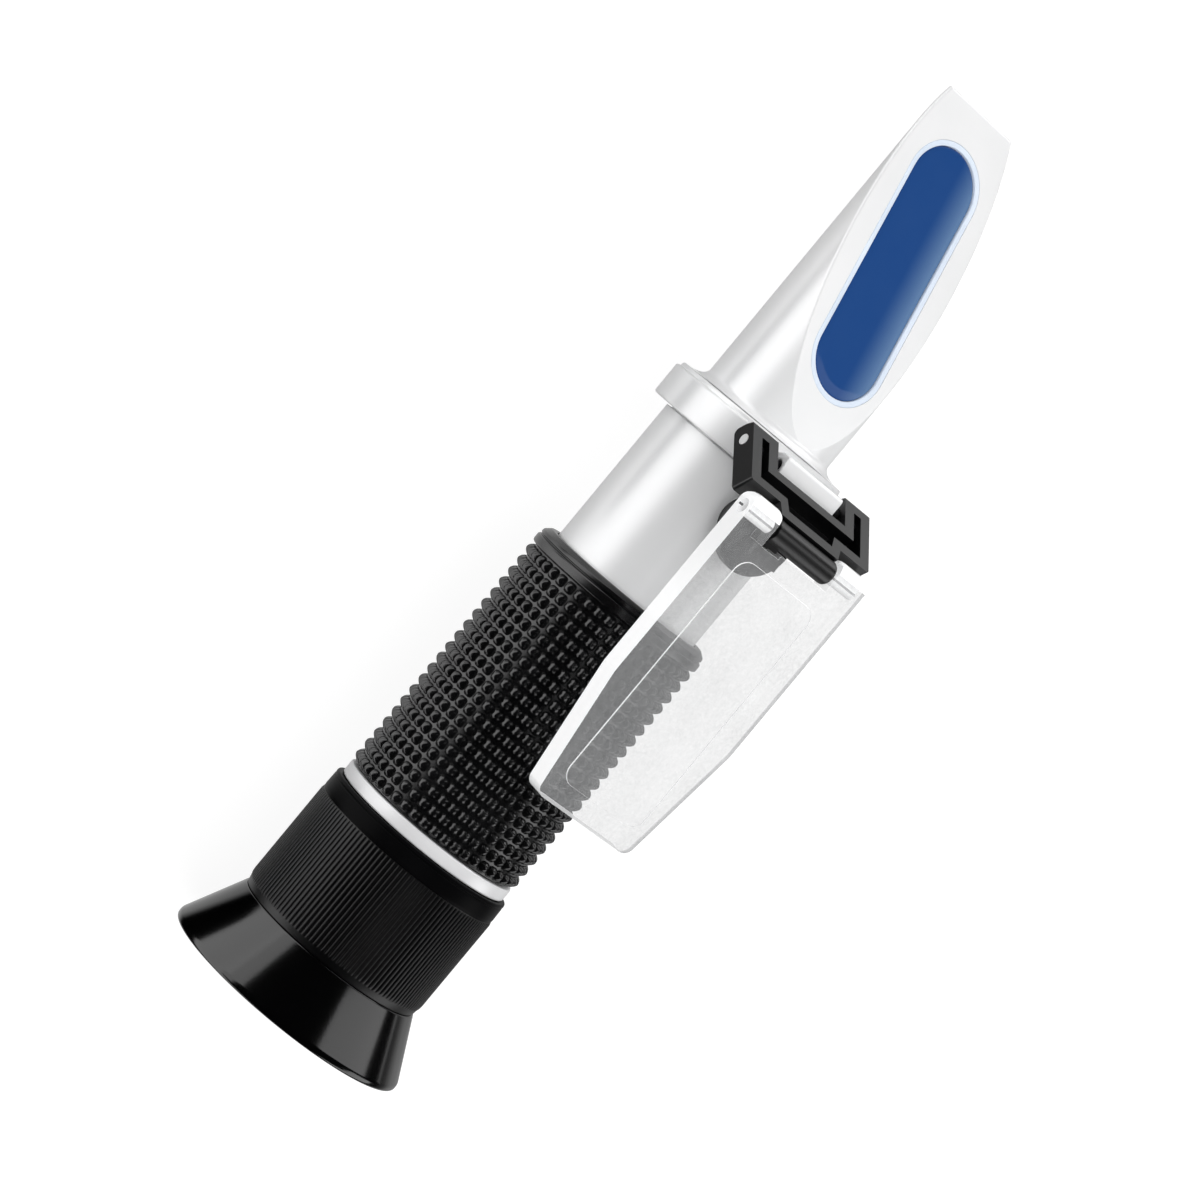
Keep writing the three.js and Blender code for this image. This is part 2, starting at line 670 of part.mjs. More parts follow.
// Daylight plate's frame: origin on its pin, level when folded back over the tube
const plateTop = plateThickness / 2;
const slotHalfWidth = barrelHalfLength + fit;
const stopStepEnd = barrelHalfLength - stopStepLength;
const plateShape = roundedShape([
  [plateEarRadius, plateHalfWidth, plateCornerRadius],
  [-plateTaperStart, plateHalfWidth],
  [-plateReach, plateEndHalfWidth, plateCornerRadius],
  [-plateReach, -plateEndHalfWidth, plateCornerRadius],
  [-plateTaperStart, -plateHalfWidth],
  [plateEarRadius, -plateHalfWidth, plateCornerRadius],
  [plateEarRadius, -slotHalfWidth, plateCornerRadius / 2],
  [-plateSlotReach, -slotHalfWidth],
  [-plateSlotReach, stopStepEnd - fit],
  [-stopStepReach - fit, stopStepEnd - fit],
  [-stopStepReach - fit, slotHalfWidth],
  [plateEarRadius, slotHalfWidth, plateCornerRadius / 2],
]);
const padShape = roundedShape([
  [-padStart, padHalfWidth, padCornerRadius],
  [-padStart - padLength, padHalfWidth, padCornerRadius],
  [-padStart - padLength, -padHalfWidth, padCornerRadius],
  [-padStart, -padHalfWidth, padCornerRadius],
]);
const earShape = new THREE.Shape();
const earCentre = plateEarRadius - plateTop;
earShape.moveTo(-plateReach - overrun, -plateTop);
earShape.lineTo(earCentre, -plateTop);
earShape.absarc(earCentre, 0, plateTop, -Math.PI / 2, Math.PI / 2, false);
earShape.lineTo(-plateReach - overrun, plateTop);
earShape.closePath();
const plate = slab(plateShape, -plateTop, plateTop)
  .intersect(sideSlab(earShape, -plateHalfWidth - overrun, plateHalfWidth + overrun))
  .add(slab(padShape, 0, plateTop + padRise))
  .subtract(crossRod(0, 0, platePinRadius + fit, -collarRadius, collarRadius));
const plateFrame = new THREE.Group();
plateFrame.position.set(barrelX, 0, barrelZ);
plateFrame.rotation.y = -bracketTilt;
bracketFrame.add(plateFrame);
piece('daylight_plate', plate, clearPlastic, plateFrame);

// Calibration screw in its bush, under a rubber cap that pulls off
const bossBottom = tubeBoreRadius - fit;
const screwHeadTop = bossTopHeight - calibrationSlotDepth / 2;
const screwHeadBottom = screwHeadTop - calibrationHeadLength;
const stripTop = stripHeight + stripThickness;
piece('calibration_bush', turnedUpright([
  [bossBottom, calibrationShankRadius + fit],
  [bossTopHeight, calibrationShankRadius + fit],
  [bossTopHeight, bossRadius],
  [bossBottom, bossRadius],
], innerSides, capStation).subtract(turnedUpright([
  [screwHeadBottom - fit, 0], [bossTopHeight + overrun, 0],
  [bossTopHeight + overrun, calibrationRadius + fit], [screwHeadBottom - fit, calibrationRadius + fit],
], innerSides, capStation)), brass);
piece('calibration_screw', turnedUpright([
  [stripTop + fit, 0],
  [screwHeadTop, 0],
  [screwHeadTop, calibrationRadius],
  [screwHeadBottom, calibrationRadius],
  [screwHeadBottom, calibrationShankRadius],
  [stripTop + fit, calibrationShankRadius],
], smallSides, capStation).subtract(block(
  capStation - calibrationRadius - overrun, capStation + calibrationRadius + overrun,
  -calibrationSlotWidth / 2, calibrationSlotWidth / 2,
  screwHeadTop - calibrationSlotDepth, screwHeadTop + overrun,
)), brightMetal);
const capSolid = turnedUpright([
  [0, bossRadius + fit],
  [bossTopHeight + fit, bossRadius + fit],
  [bossTopHeight + fit, 0],
  [capTopHeight, 0],
  [capTopHeight, capRadius - capRound],
  [capTopHeight - capRound, capRadius],
  [capTopHeight - capBrimThickness, capRadius],
  [capTopHeight - capBrimThickness, capNeckRadius],
  [0, capNeckRadius],
], innerSides, capStation).subtract(turned([
  [0, 0], [headEnd, 0], [headEnd, tubeRadius + fit], [0, tubeRadius + fit],
]));
piece('screw_cap', capSolid, blackRubber);

// Eyepiece: lenses, spacer and retainer rings in one sliding cell
const cellBoreRadius = cellRadius - cellWall;
const lensRadius = cellBoreRadius - fit;
const cellEnd = cellStart + cellLength;
const eyeLensMiddle = cellStart + retainerLength + fit * 2 + eyeLensEdge / 2 + eyeLensBulge;
const shoulderStart = eyeLensMiddle + eyeLensEdge / 2 + fit;
function lensOutline(centre, edge, bulge, radius) {
  const outline = [];
  const steps = cornerSteps;
  for (const side of [1, -1]) {
    for (let i = 0; i <= steps; i += 1) {
      const share = side > 0 ? i / steps : 1 - i / steps;
      outline.push([centre - side * (edge / 2 + bulge * (1 - share ** 2)), radius * share]);
    }
  }
  return outline;
}
const cellOutline = [
  [cellStart, cellBoreRadius],
  [shoulderStart, cellBoreRadius],
  [shoulderStart, cellBoreRadius - cellShoulderWidth],
  [shoulderStart + cellShoulderLength, cellBoreRadius - cellShoulderWidth],
  [shoulderStart + cellShoulderLength, cellBoreRadius],
  [cellEnd, cellBoreRadius],
  [cellEnd, cellRadius],
  [cellStart, cellRadius],
];
const guideGroove = block(
  guidePinStation - guideSlotLength / 2, cellEnd + overrun,
  -guidePinRadius - fit, guidePinRadius + fit, cellRadius - guideGrooveDepth, cellRadius + overrun,
);
piece('eyepiece_cell', turned(cellOutline, innerSides).subtract(guideGroove), blackMetal);
piece('eyepiece_retainer', tubeBetween(
  cellStart + fit, cellStart + fit + retainerLength, lensRadius, lensRadius - retainerWidth, innerSides,
), blackMetal);
piece('eye_lens', turned(
  lensOutline(eyeLensMiddle, eyeLensEdge, eyeLensBulge, lensRadius), innerSides,
), clearGlass);
const spacerStart = shoulderStart + cellShoulderLength + fit;
piece('lens_spacer', tubeBetween(
  spacerStart, spacerStart + spacerLength, lensRadius, lensRadius - spacerWall, innerSides,
), blackMetal);
const fieldLensMiddle = spacerStart + spacerLength + fit + fieldLensEdge / 2;
piece('field_lens', turned(
  lensOutline(fieldLensMiddle, fieldLensEdge, fieldLensBulge, lensRadius), innerSides,
), clearGlass);
const rearRetainerStart = fieldLensMiddle + fieldLensEdge / 2 + fit;
piece('rear_retainer', tubeBetween(
  rearRetainerStart, cellEnd - fit, lensRadius, lensRadius - retainerWidth, innerSides,
), blackMetal);

// Reticle: a glass disc with the scale, held between two rings in the tube
const insideRadius = tubeBoreRadius - fit;
const reticleSeat = reticleStation + reticleRingLength - reticleGlassThickness - fit;
piece('reticle_holder', turned([
  [reticleStation, insideRadius - reticleRingWall],
  [reticleSeat, insideRadius - reticleRingWall],
  [reticleSeat, insideRadius - reticleRingWall / 2],
  [reticleStation + reticleRingLength, insideRadius - reticleRingWall / 2],
  [reticleStation + reticleRingLength, insideRadius],
  [reticleStation, insideRadius],
], innerSides), blackMetal);
piece('reticle_disc', discBetween(
  reticleSeat + fit, reticleSeat + fit + reticleGlassThickness,
  insideRadius - reticleRingWall / 2 - fit, innerSides,
), clearGlass);
const lockRingStart = reticleStation + reticleRingLength + fit;
piece('reticle_lock_ring', tubeBetween(
  lockRingStart, lockRingStart + reticleRingLength / 2, insideRadius,
  insideRadius - reticleRingWall, innerSides,
), blackMetal);
piece('light_stop', tubeBetween(
  stopDiscStation, stopDiscStation + stopDiscThickness, insideRadius, stopDiscHoleRadius, innerSides,
), blackMetal);

// Temperature compensator: a two-metal strip that carries the objective's cell at its free end
const objectiveCellRadius = objectiveRadius + fit + objectiveCellWall;
const objectiveHoleRadius = objectiveRadius - objectiveCellWall;
const objectiveSeatLength = objectiveEdge / 2 + fit
  + objectiveBulge * (1 - (objectiveHoleRadius / objectiveRadius) ** 2);
piece('objective_cell', turned([
  [objectiveStation - objectiveCellLength / 2, objectiveRadius + fit],
  [objectiveStation + objectiveSeatLength, objectiveRadius + fit],
  [objectiveStation + objectiveSeatLength, objectiveHoleRadius],
  [objectiveStation + objectiveCellLength / 2, objectiveHoleRadius],
  [objectiveStation + objectiveCellLength / 2, objectiveCellRadius],
  [objectiveStation - objectiveCellLength / 2, objectiveCellRadius],
], innerSides).subtract(block(
  objectiveStation - objectiveCellLength, objectiveStation + objectiveCellLength,
  -objectiveCellRadius, objectiveCellRadius, stripHeight - fit, tubeRadius,
)), blackMetal);
piece('objective_lens', turned(
  lensOutline(objectiveStation, objectiveEdge, objectiveBulge, objectiveRadius), innerSides,
), clearGlass);
piece('compensator_strip', block(
  objectiveStation - objectiveCellLength / 2, stripScrewStation + stripBlockLength / 2,
  -stripWidth / 2, stripWidth / 2, stripHeight, stripTop,
).subtract(stripScrewHole), brass);
piece('compensator_block', block(
  stripScrewStation - stripBlockLength / 2, stripScrewStation + stripBlockLength / 2,
  -stripWidth / 2, stripWidth / 2, stripTop + fit, tubeBoreRadius,
).intersect(discBetween(0, headEnd, tubeBoreRadius - fit, innerSides)).subtract(stripScrewHole), blackMetal);
const stripScrewTop = tubeTenonRadius - fit;
piece('compensator_screw', turnedUpright([
  [stripHeight - fit - stripScrewHeadLength, 0],
  [stripScrewTop, 0],
  [stripScrewTop, stripScrewRadius],
  [stripHeight - fit, stripScrewRadius],
  [stripHeight - fit, stripScrewHeadRadius],
  [stripHeight - fit - stripScrewHeadLength, stripScrewHeadRadius],
], smallSides, stripScrewStation), brightMetal);

export default instrument;
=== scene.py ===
import math

import bmesh
import bpy
from mathutils import Matrix, Vector


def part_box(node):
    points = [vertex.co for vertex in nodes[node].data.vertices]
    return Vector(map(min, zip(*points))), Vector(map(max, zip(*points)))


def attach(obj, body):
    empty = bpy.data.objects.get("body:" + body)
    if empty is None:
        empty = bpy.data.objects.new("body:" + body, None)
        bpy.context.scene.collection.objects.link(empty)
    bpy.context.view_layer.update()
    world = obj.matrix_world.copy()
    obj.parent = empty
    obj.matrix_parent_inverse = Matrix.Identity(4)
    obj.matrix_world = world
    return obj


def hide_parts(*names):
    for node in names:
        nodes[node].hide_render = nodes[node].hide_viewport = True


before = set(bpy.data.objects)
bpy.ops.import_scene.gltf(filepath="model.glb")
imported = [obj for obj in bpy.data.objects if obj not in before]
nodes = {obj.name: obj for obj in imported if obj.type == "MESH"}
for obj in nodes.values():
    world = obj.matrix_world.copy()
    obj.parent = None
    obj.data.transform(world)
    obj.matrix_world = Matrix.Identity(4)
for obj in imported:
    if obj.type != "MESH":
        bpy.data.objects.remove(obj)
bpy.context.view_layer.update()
mm = 0.001

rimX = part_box("eyecup")[0].x
tubeLow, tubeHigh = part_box("main_tube")
axisZ = (tubeLow.z + tubeHigh.z) / 2

# Lengths below are millimetres. A station is a distance along the axis from the eyecup's rim.
body = {
    "focusStart": 10.1, "focusEnd": 30.7, "trimStart": 31.0, "trimEnd": 32.7,
    "gripStart": 33.0, "gripEnd": 76.3, "collarStart": 100.5, "collarEnd": 106.4,
    "headStart": 107.9, "headEnd": 160.3, "headRadius": 10.8, "faceDrop": 18.4,
    "lugPin": 103.4, "lugPinHeight": 17.2, "bracketTilt": 54.0, "capStation": 94.25,
    "pinSeatReach": 11.4, "pinSeatDrop": 0.2,
}
faceSlope = math.atan2(body["faceDrop"], body["headEnd"] - body["headStart"])

instrumentFrame = Matrix.Translation((rimX, 0, axisZ)) @ Matrix.Diagonal((mm, mm, mm, 1))
faceFrame = (instrumentFrame @ Matrix.Translation((body["headStart"], 0, body["headRadius"]))
             @ Matrix.Rotation(faceSlope, 4, "Y"))
bracketFrame = (instrumentFrame @ Matrix.Translation((body["lugPin"], 0, body["lugPinHeight"]))
                @ Matrix.Rotation(math.radians(body["bracketTilt"]), 4, "Y"))
plateFrame = (bracketFrame @ Matrix.Translation((-body["pinSeatReach"], 0, -body["pinSeatDrop"]))
              @ Matrix.Rotation(math.radians(-body["bracketTilt"]), 4, "Y"))


def linked(name, data):
    made = bpy.data.objects.new(name, data)
    bpy.context.scene.collection.objects.link(made)
    return made


# Camera: fitted to the edges of the photograph, rolled so that the eyecup is at the lower left
camera = {"rise": 56.3087, "turn": 3.3043, "swing": 1.2013, "roll": 51.5,
          "distance": 592.204, "across": 7.339, "along": -2.1488, "pixelsPerMm": 7.0622, "pixels": 1200, "sensor": 36}


def addCamera():
    rise = math.radians(camera["rise"])
    back = Vector((0, math.cos(rise), math.sin(rise)))
    right = Vector((1, 0, 0))
    up = back.cross(right)
    turn = Matrix.Rotation(math.radians(camera["turn"]), 3, up)
    right, back = turn @ right, turn @ back
    swing = Matrix.Rotation(math.radians(camera["swing"]), 3, back)
    right, up = swing @ right, swing @ up
    pivot = Vector((0, 0, axisZ))
    place = pivot + mm * (camera["distance"] * back - camera["across"] * right - camera["along"] * up)
    roll = math.radians(camera["roll"])
    viewRight = math.cos(roll) * right - math.sin(roll) * up
    viewUp = math.sin(roll) * right + math.cos(roll) * up
    lens = bpy.data.cameras.new("camera")
    lens.sensor_width = camera["sensor"]
    lens.lens = camera["sensor"] * camera["pixelsPerMm"] * camera["distance"] / camera["pixels"]
    lens.clip_start, lens.clip_end = 0.01, 50
    seen = linked("camera", lens)
    turnTo = Matrix((viewRight, viewUp, back)).transposed().to_4x4()
    seen.matrix_world = Matrix.Translation(place) @ turnTo
    bpy.context.scene.camera = seen


addCamera()
print("camera placed")


# Shader maths: a socket with operators
class Wire:
    def __init__(self, tree, socket=None):
        self.tree = tree
        self.socket = socket

    def add(self, kind, settings=None, sockets=None, output=0):  # any node: settings first, then its sockets
        made = self.tree.nodes.new(kind)
        for key, value in (settings or {}).items():
            if key == "stops":
                ramp = made.color_ramp.elements
                while len(ramp) < len(value):
                    ramp.new(1.0)
                for stop, (place, colour) in zip(ramp, value):
                    stop.position = place
                    stop.color = colour
            else:
                setattr(made, key, value)
        for key, value in (sockets or {}).items():
            if isinstance(value, Wire):
                self.tree.links.new(value.socket, made.inputs[key])
            else:
                made.inputs[key].default_value = value
        return Wire(self.tree, made.outputs[output])

    def maths(self, operation, first, second=0.0, clamp=False):
        return self.add("ShaderNodeMath", {"operation": operation, "use_clamp": clamp}, {0: first, 1: second})

    def __add__(self, other):
        return self.maths("ADD", self, other)

    def __radd__(self, other):
        return self.maths("ADD", other, self)

    def __sub__(self, other):
        return self.maths("SUBTRACT", self, other)

    def __rsub__(self, other):
        return self.maths("SUBTRACT", other, self)

    def __mul__(self, other):
        return self.maths("MULTIPLY", self, other)

    def __rmul__(self, other):
        return self.maths("MULTIPLY", other, self)

    def __truediv__(self, other):
        return self.maths("DIVIDE", self, other)

    def __pow__(self, other):
        return self.maths("POWER", self, other)

    def within(self, low, high):  # 0 at low, 1 at high
        return self.maths("MULTIPLY", self - low, 1 / (high - low), clamp=True)

    def part(self, number):  # x, y or z of a vector
        return self.add("ShaderNodeSeparateXYZ", {}, {0: self}, number)


def newFinish(name, **fixed):  # a material with one Principled shader; its uniform values are set here
    material = bpy.data.materials.new(name)
    material.use_nodes = True
    tree = material.node_tree
    tree.nodes.clear()
    shader = tree.nodes.new("ShaderNodeBsdfPrincipled")
    ending = tree.nodes.new("ShaderNodeOutputMaterial")
    tree.links.new(shader.outputs["BSDF"], ending.inputs["Surface"])
    for key, value in fixed.items():
        shader.inputs[key.replace("_", " ")].default_value = value
    return material, Wire(tree), shader


def feed(shader, **wires):
    for key, wire in wires.items():
        wire.tree.links.new(wire.socket, shader.inputs[key.replace("_", " ")])


def places(wire, scale=(1, 1, 1)):  # object coordinates, in metres, stretched by scale
    seen = wire.add("ShaderNodeTexCoord", output="Object")
    return wire.add("ShaderNodeVectorMath", {"operation": "MULTIPLY"}, {0: seen, 1: scale})


def grain(wire, scale, detail=2.0, stretch=(1, 1, 1), rough=0.5):
    return wire.add("ShaderNodeTexNoise", {}, {
        "Vector": places(wire, stretch), "Scale": scale, "Detail": detail, "Roughness": rough})


def bump(wire, height, distance, strength=1.0):
    return wire.add("ShaderNodeBump", {}, {"Height": height, "Distance": distance, "Strength": strength})


def mixColour(wire, share, first, second):
    return wire.add("ShaderNodeMix", {"data_type": "RGBA"}, {0: share, 6: first, 7: second}, 2)


blacks = {  # name, colour, dust on it, roughness, smudges in it, grain's scale and depth, specular level
    "eyecup": ("eyecup rubber", (0.0005, 0.0005, 0.0006, 1), (0.0014, 0.0014, 0.0016, 1), 0.08, 0.05,
               2600, 0.0000025, 0.75),
    "ring": ("fluted black", (0.0012, 0.0012, 0.0014, 1), (0.003, 0.003, 0.0033, 1), 0.3, 0.1, 3200, 0.000008, 0.5),
    "band": ("polished black", (0.0016, 0.0016, 0.0018, 1), (0.003, 0.003, 0.0033, 1), 0.3, 0.06,
             3200, 0.000003, 0.04),
    "grip": ("grip rubber", (0.002, 0.002, 0.0022, 1), (0.005, 0.005, 0.0054, 1), 0.17, 0.08, 2400, 0.000008, 0.8),
    "bracket": ("bracket moulding", (0.001, 0.001, 0.0012, 1), (0.003, 0.003, 0.0033, 1), 0.28, 0.1,
                3600, 0.000005, 0.7),
    "armSide": ("bracket side", (0.001, 0.001, 0.0012, 1), (0.003, 0.003, 0.0033, 1), 0.28, 0.1,
                3600, 0.000005, 0.22),
    "cap": ("cap rubber", (0.004, 0.004, 0.0045, 1), (0.01, 0.01, 0.011, 1), 0.4, 0.12, 2200, 0.00001, 0.5),
    "inside": ("inner black", (0.008, 0.008, 0.009, 1), (0.014, 0.014, 0.015, 1), 0.42, 0.1, 2600, 0.00001, 0.5),
}


def blackFinish(name, colour, dust, rough, smudge, grainScale, grainDepth, specular):
    material, wire, shader = newFinish(name, Specular_IOR_Level=specular)
    cloud = grain(wire, 90, 4.0)
    fine = grain(wire, grainScale, 3.0)
    feed(shader,
         Base_Color=mixColour(wire, cloud.within(0.45, 0.75), colour, dust),
         Roughness=rough + smudge * cloud + 0.06 * fine,
         Normal=bump(wire, fine, grainDepth))
    return material


metals = {  # name, light, dark, roughness, its swing, metallic, depth of the turning lines
    "satin": ("satin plating", (0.93, 0.93, 0.935, 1), (0.88, 0.885, 0.89, 1), 0.25, 0.07, 0.25, 0.0000035),
    "bright": ("bright turned metal", (0.88, 0.88, 0.885, 1), (0.8, 0.8, 0.81, 1), 0.2, 0.06, 0.3, 0.000003),
    "trim": ("bright trim", (0.83, 0.83, 0.835, 1), (0.74, 0.74, 0.75, 1), 0.28, 0.06, 0.2, 0.000003),
    "brass": ("turned brass", (0.78, 0.58, 0.28, 1), (0.6, 0.43, 0.2, 1), 0.28, 0.1, 1.0, 0.000004),
    "anodised": ("black anodised", (0.03, 0.03, 0.033, 1), (0.018, 0.018, 0.02, 1), 0.4, 0.08, 0.6, 0.000004),
}


# Satin plating: fine grain, faint turning lines round the axis, a little cloudiness
def metalFinish(name, light, dark, rough, swing, metal, lineDepth):
    material, wire, shader = newFinish(name, Metallic=metal)
    cloud = grain(wire, 45, 4.0)
    lines = grain(wire, 9, 3.0, (650, 12, 12))
    fine = grain(wire, 3800, 2.0)
    feed(shader,
         Base_Color=mixColour(wire, cloud.within(0.3, 0.7), dark, light),
         Roughness=rough + swing * cloud + 0.04 * lines,
         Normal=bump(wire, lines * 0.5 + fine * 0.5, lineDepth))
    return material


glassGrain = 0.0000008  # metres


def glassFinish(name, colour, rough, **fixed):
    material, wire, shader = newFinish(name, **fixed)
    cloud = grain(wire, 120, 3.0)
    fine = grain(wire, 900, 2.0)
    deep = (colour[0] * 0.86, colour[1] * 0.88, colour[2] * 0.9, 1)
    feed(shader,
         Base_Color=mixColour(wire, cloud.within(0.3, 0.7), deep, colour),
         Roughness=rough + 0.04 * cloud,
         Normal=bump(wire, fine, glassGrain))
    return material


blueGlass = {"deep": (0.0118, 0.054, 0.198, 1), "side": (0.1, 0.18, 0.33, 1), "from": -1.2, "to": -5.4,
             "fade": 1.4, "cloud": 0.06, "rough": 0.06, "specular": 0.22}


def blueFinish(name):  # the glass is paler along one long side, where light comes up from its ground edge
    b = blueGlass
    material, wire, shader = newFinish(name, Specular_IOR_Level=b["specular"])
    across = places(wire).part(1) * (1 / mm)
    share = across.within(b["from"], b["to"]) ** b["fade"] + b["cloud"] * grain(wire, 160, 3.0)
    feed(shader,
         Base_Color=mixColour(wire, share, b["deep"], b["side"]),
         Roughness=b["rough"] + 0.04 * grain(wire, 120, 3.0),
         Normal=bump(wire, grain(wire, 900, 2.0), glassGrain))
    return material


clear = {"faceAlpha": 0.19, "rimAlpha": 0.93, "mottle": 0.16, "rough": 0.1, "paintedEdgeGlow": 0.2,
         "shadeLineAlpha": 0.45, "shadeLineFrom": 47.1, "shadeLineTo": 47.5,  # the far wall's painted dark line (painted shade), heights above the floor
         # wall: the white of the painted highlight on the walls and edges; haze and mist: the faces' own tone
         "wall": (0.95, 0.955, 0.96, 1), "haze": (0.55, 0.555, 0.56, 1), "mist": (0.44, 0.445, 0.45, 1)}


# Clear moulding: a light haze on its faces; its walls and edges, seen edge on, are brighter by a painted highlight:
# whiter, more opaque and faintly glowing
def clearFinish(name, farWall=False):
    material, wire, shader = newFinish(name, IOR=1.49, Emission_Strength=clear["paintedEdgeGlow"])
    rim = wire.add("ShaderNodeAttribute", {"attribute_name": "rim"}, output="Fac")
    cloud = grain(wire, 160, 4.0)
    fine = grain(wire, 1500, 3.0, rough=0.6)
    ripple = fine.within(0.35, 0.75)
    faces = mixColour(wire, cloud.within(0.35, 0.7), clear["haze"], clear["mist"])
    faceAlpha = clear["faceAlpha"]
    if farWall:  # painted shade: a dark line runs along its upper edge
        paintedShadeLine = (places(wire).part(2) * (1 / mm)).within(clear["shadeLineFrom"], clear["shadeLineTo"])
        faceAlpha = faceAlpha + clear["shadeLineAlpha"] * paintedShadeLine
    # painted highlight: where rim is 1 the colour is white, the alpha high and a faint glow is added
    feed(shader,
         Base_Color=mixColour(wire, rim, faces, clear["wall"]),
         Alpha=(faceAlpha + clear["mottle"] * ripple * cloud * (1 - rim)
                + (clear["rimAlpha"] - faceAlpha) * rim),
         Roughness=clear["rough"] + 0.1 * cloud,
         Emission_Color=mixColour(wire, rim.within(0.5, 1.0), (0, 0, 0, 1), (1, 1, 1, 1)),
         Normal=bump(wire, ripple, 0.00002, 0.5))
    return material


finishes = {
    **{key: blackFinish(*look) for key, look in blacks.items()},
    **{key: metalFinish(*look) for key, look in metals.items()},
    "blue": blueFinish("blue prism glass"),
    "seal": glassFinish("pale blue seal", (0.68, 0.75, 0.85, 1), 0.4),
    "lens": glassFinish("coated lens", (0.93, 0.95, 0.97, 1), 0.01, Transmission_Weight=1.0, IOR=1.52),
    "clear": clearFinish("clear moulding"),
    # the far wall's finish, which carries the painted dark line
    "clearEdge": clearFinish("clear far wall", True),
}
print("finishes made:", len(finishes))


# Outlines
def roundedOutline(corners, steps=5):  # corners are (a, b) or (a, b, radius); an arc replaces each rounded corner
    points = []
    count = len(corners)
    for i, corner in enumerate(corners):
        here = Vector(corner[:2])
        radius = corner[2] if len(corner) > 2 else 0
        before = Vector(corners[i - 1][:2]) - here
        after = Vector(corners[(i + 1) % count][:2]) - here
        if radius <= 0:
            points.append(here)
            continue
        half = before.angle(after) / 2
        reach = min(radius / math.tan(half), before.length * 0.49, after.length * 0.49)
        radius = reach * math.tan(half)
        centre = here + (before.normalized() + after.normalized()).normalized() * (radius / math.sin(half))
        start = here + before.normalized() * reach - centre
        end = here + after.normalized() * reach - centre
        sweep = start.angle_signed(end)
        for k in range(steps + 1):
            turn = -sweep * k / steps
            points.append(centre + Vector((start.x * math.cos(turn) - start.y * math.sin(turn),
                                           start.x * math.sin(turn) + start.y * math.cos(turn))))
    return points


def inwards(points, distance):  # the same closed outline, drawn in by distance
    area = sum(points[i - 1].x * p.y - p.x * points[i - 1].y for i, p in enumerate(points))
    side = 1 if area > 0 else -1
    count = len(points)
    drawn = []
    for i, here in enumerate(points):
        first = (here - points[i - 1]).normalized()
        second = (points[(i + 1) % count] - here).normalized()
        across = Vector((-first.y - second.y, first.x + second.x)) * side
        if across.length < 1e-6:
            across = Vector((-first.y, first.x)) * side
        across.normalize()
        lean = max(0.4, abs(across.dot(Vector((-second.y, second.x)))))
        drawn.append(here + across * (distance / lean))
    return drawn


def mirrored(half):  # corners followed by their mirror image across the axis
    return half + [(x, -y, *radius) for x, y, *radius in half[::-1]]


def quarter(steps):  # a quarter of a circle, as what is left to go and what is done
    angles = [math.pi / 2 * k / steps for k in range(steps + 1)]
    return [(1 - math.sin(angle), 1 - math.cos(angle)) for angle in angles]


# Meshes
def newPiece(name, points, faces, place, finish, smooth=32):
    mesh = bpy.data.meshes.new(name)
    mesh.from_pydata([place @ Vector(p) for p in points], [], faces)
    made = linked(name, mesh)
    cleaned(made, smooth)
    mesh.materials.append(finishes[finish])
    return made


def cleaned(piece, smooth=32):  # doubles merged, faces pointing out, creases kept
    shell = bmesh.new()
    shell.from_mesh(piece.data)
    bmesh.ops.remove_doubles(shell, verts=shell.verts, dist=1e-6)
    bmesh.ops.dissolve_degenerate(shell, edges=shell.edges, dist=1e-7)
    bmesh.ops.recalc_face_normals(shell, faces=shell.faces)
    shell.to_mesh(piece.data)
    shell.free()
    piece.data.shade_smooth()
    piece.data.set_sharp_from_angle(angle=math.radians(smooth))


def baked(piece):  # the evaluated mesh in place of the modifiers
    bpy.context.view_layer.update()
    seen = piece.evaluated_get(bpy.context.evaluated_depsgraph_get())
    mesh = bpy.data.meshes.new_from_object(seen)
    piece.modifiers.clear()
    piece.data = mesh


def combined(piece, other, operation="DIFFERENCE"):
    change = piece.modifiers.new("cut", "BOOLEAN")
    change.object = other
    change.operation = operation
    change.solver = "EXACT"
    baked(piece)
    bpy.data.objects.remove(other)


def softened(piece, width, segments, angle=30):  # small rounds along the creases
    cleaned(piece, 40)
    change = piece.modifiers.new("rounds", "BEVEL")
    change.width = width * mm
    change.segments = segments
    change.limit_method = "ANGLE"
    change.angle_limit = math.radians(angle)
    change.miter_outer = "MITER_ARC"
    change.use_clamp_overlap = True
    level = piece.modifiers.new("level", "WEIGHTED_NORMAL")
    level.keep_sharp = True
    baked(piece)


def turned(name, outline, finish, axis="X", centre=(0, 0, 0), place=instrumentFrame, sides=160, smooth=32):
    number = "XYZ".index(axis)  # outline is (distance along the axis, radius), closed
    along, one, two = (Matrix.Identity(3)[(number + k) % 3] for k in range(3))
    centre = Vector(centre)
    points, rows, faces = [], [], []
    for distance, radius in outline:
        row = []
        for k in range(1 if radius < 1e-6 else sides):
            angle = 2 * math.pi * k / sides
            row.append(len(points))
            points.append(centre + along * distance + radius * (one * math.cos(angle) + two * math.sin(angle)))
        rows.append(row)
    for i, row in enumerate(rows):
        after = rows[(i + 1) % len(rows)]
        if len(row) == 1 and len(after) == 1:
            continue
        for k in range(sides):
            n = (k + 1) % sides
            if len(row) == 1:
                faces.append((row[0], after[k], after[n]))
            elif len(after) == 1:
                faces.append((row[k], after[0], row[n]))
            else:
                faces.append((row[k], after[k], after[n], row[n]))
    return newPiece(name, points, faces, place, finish, smooth)


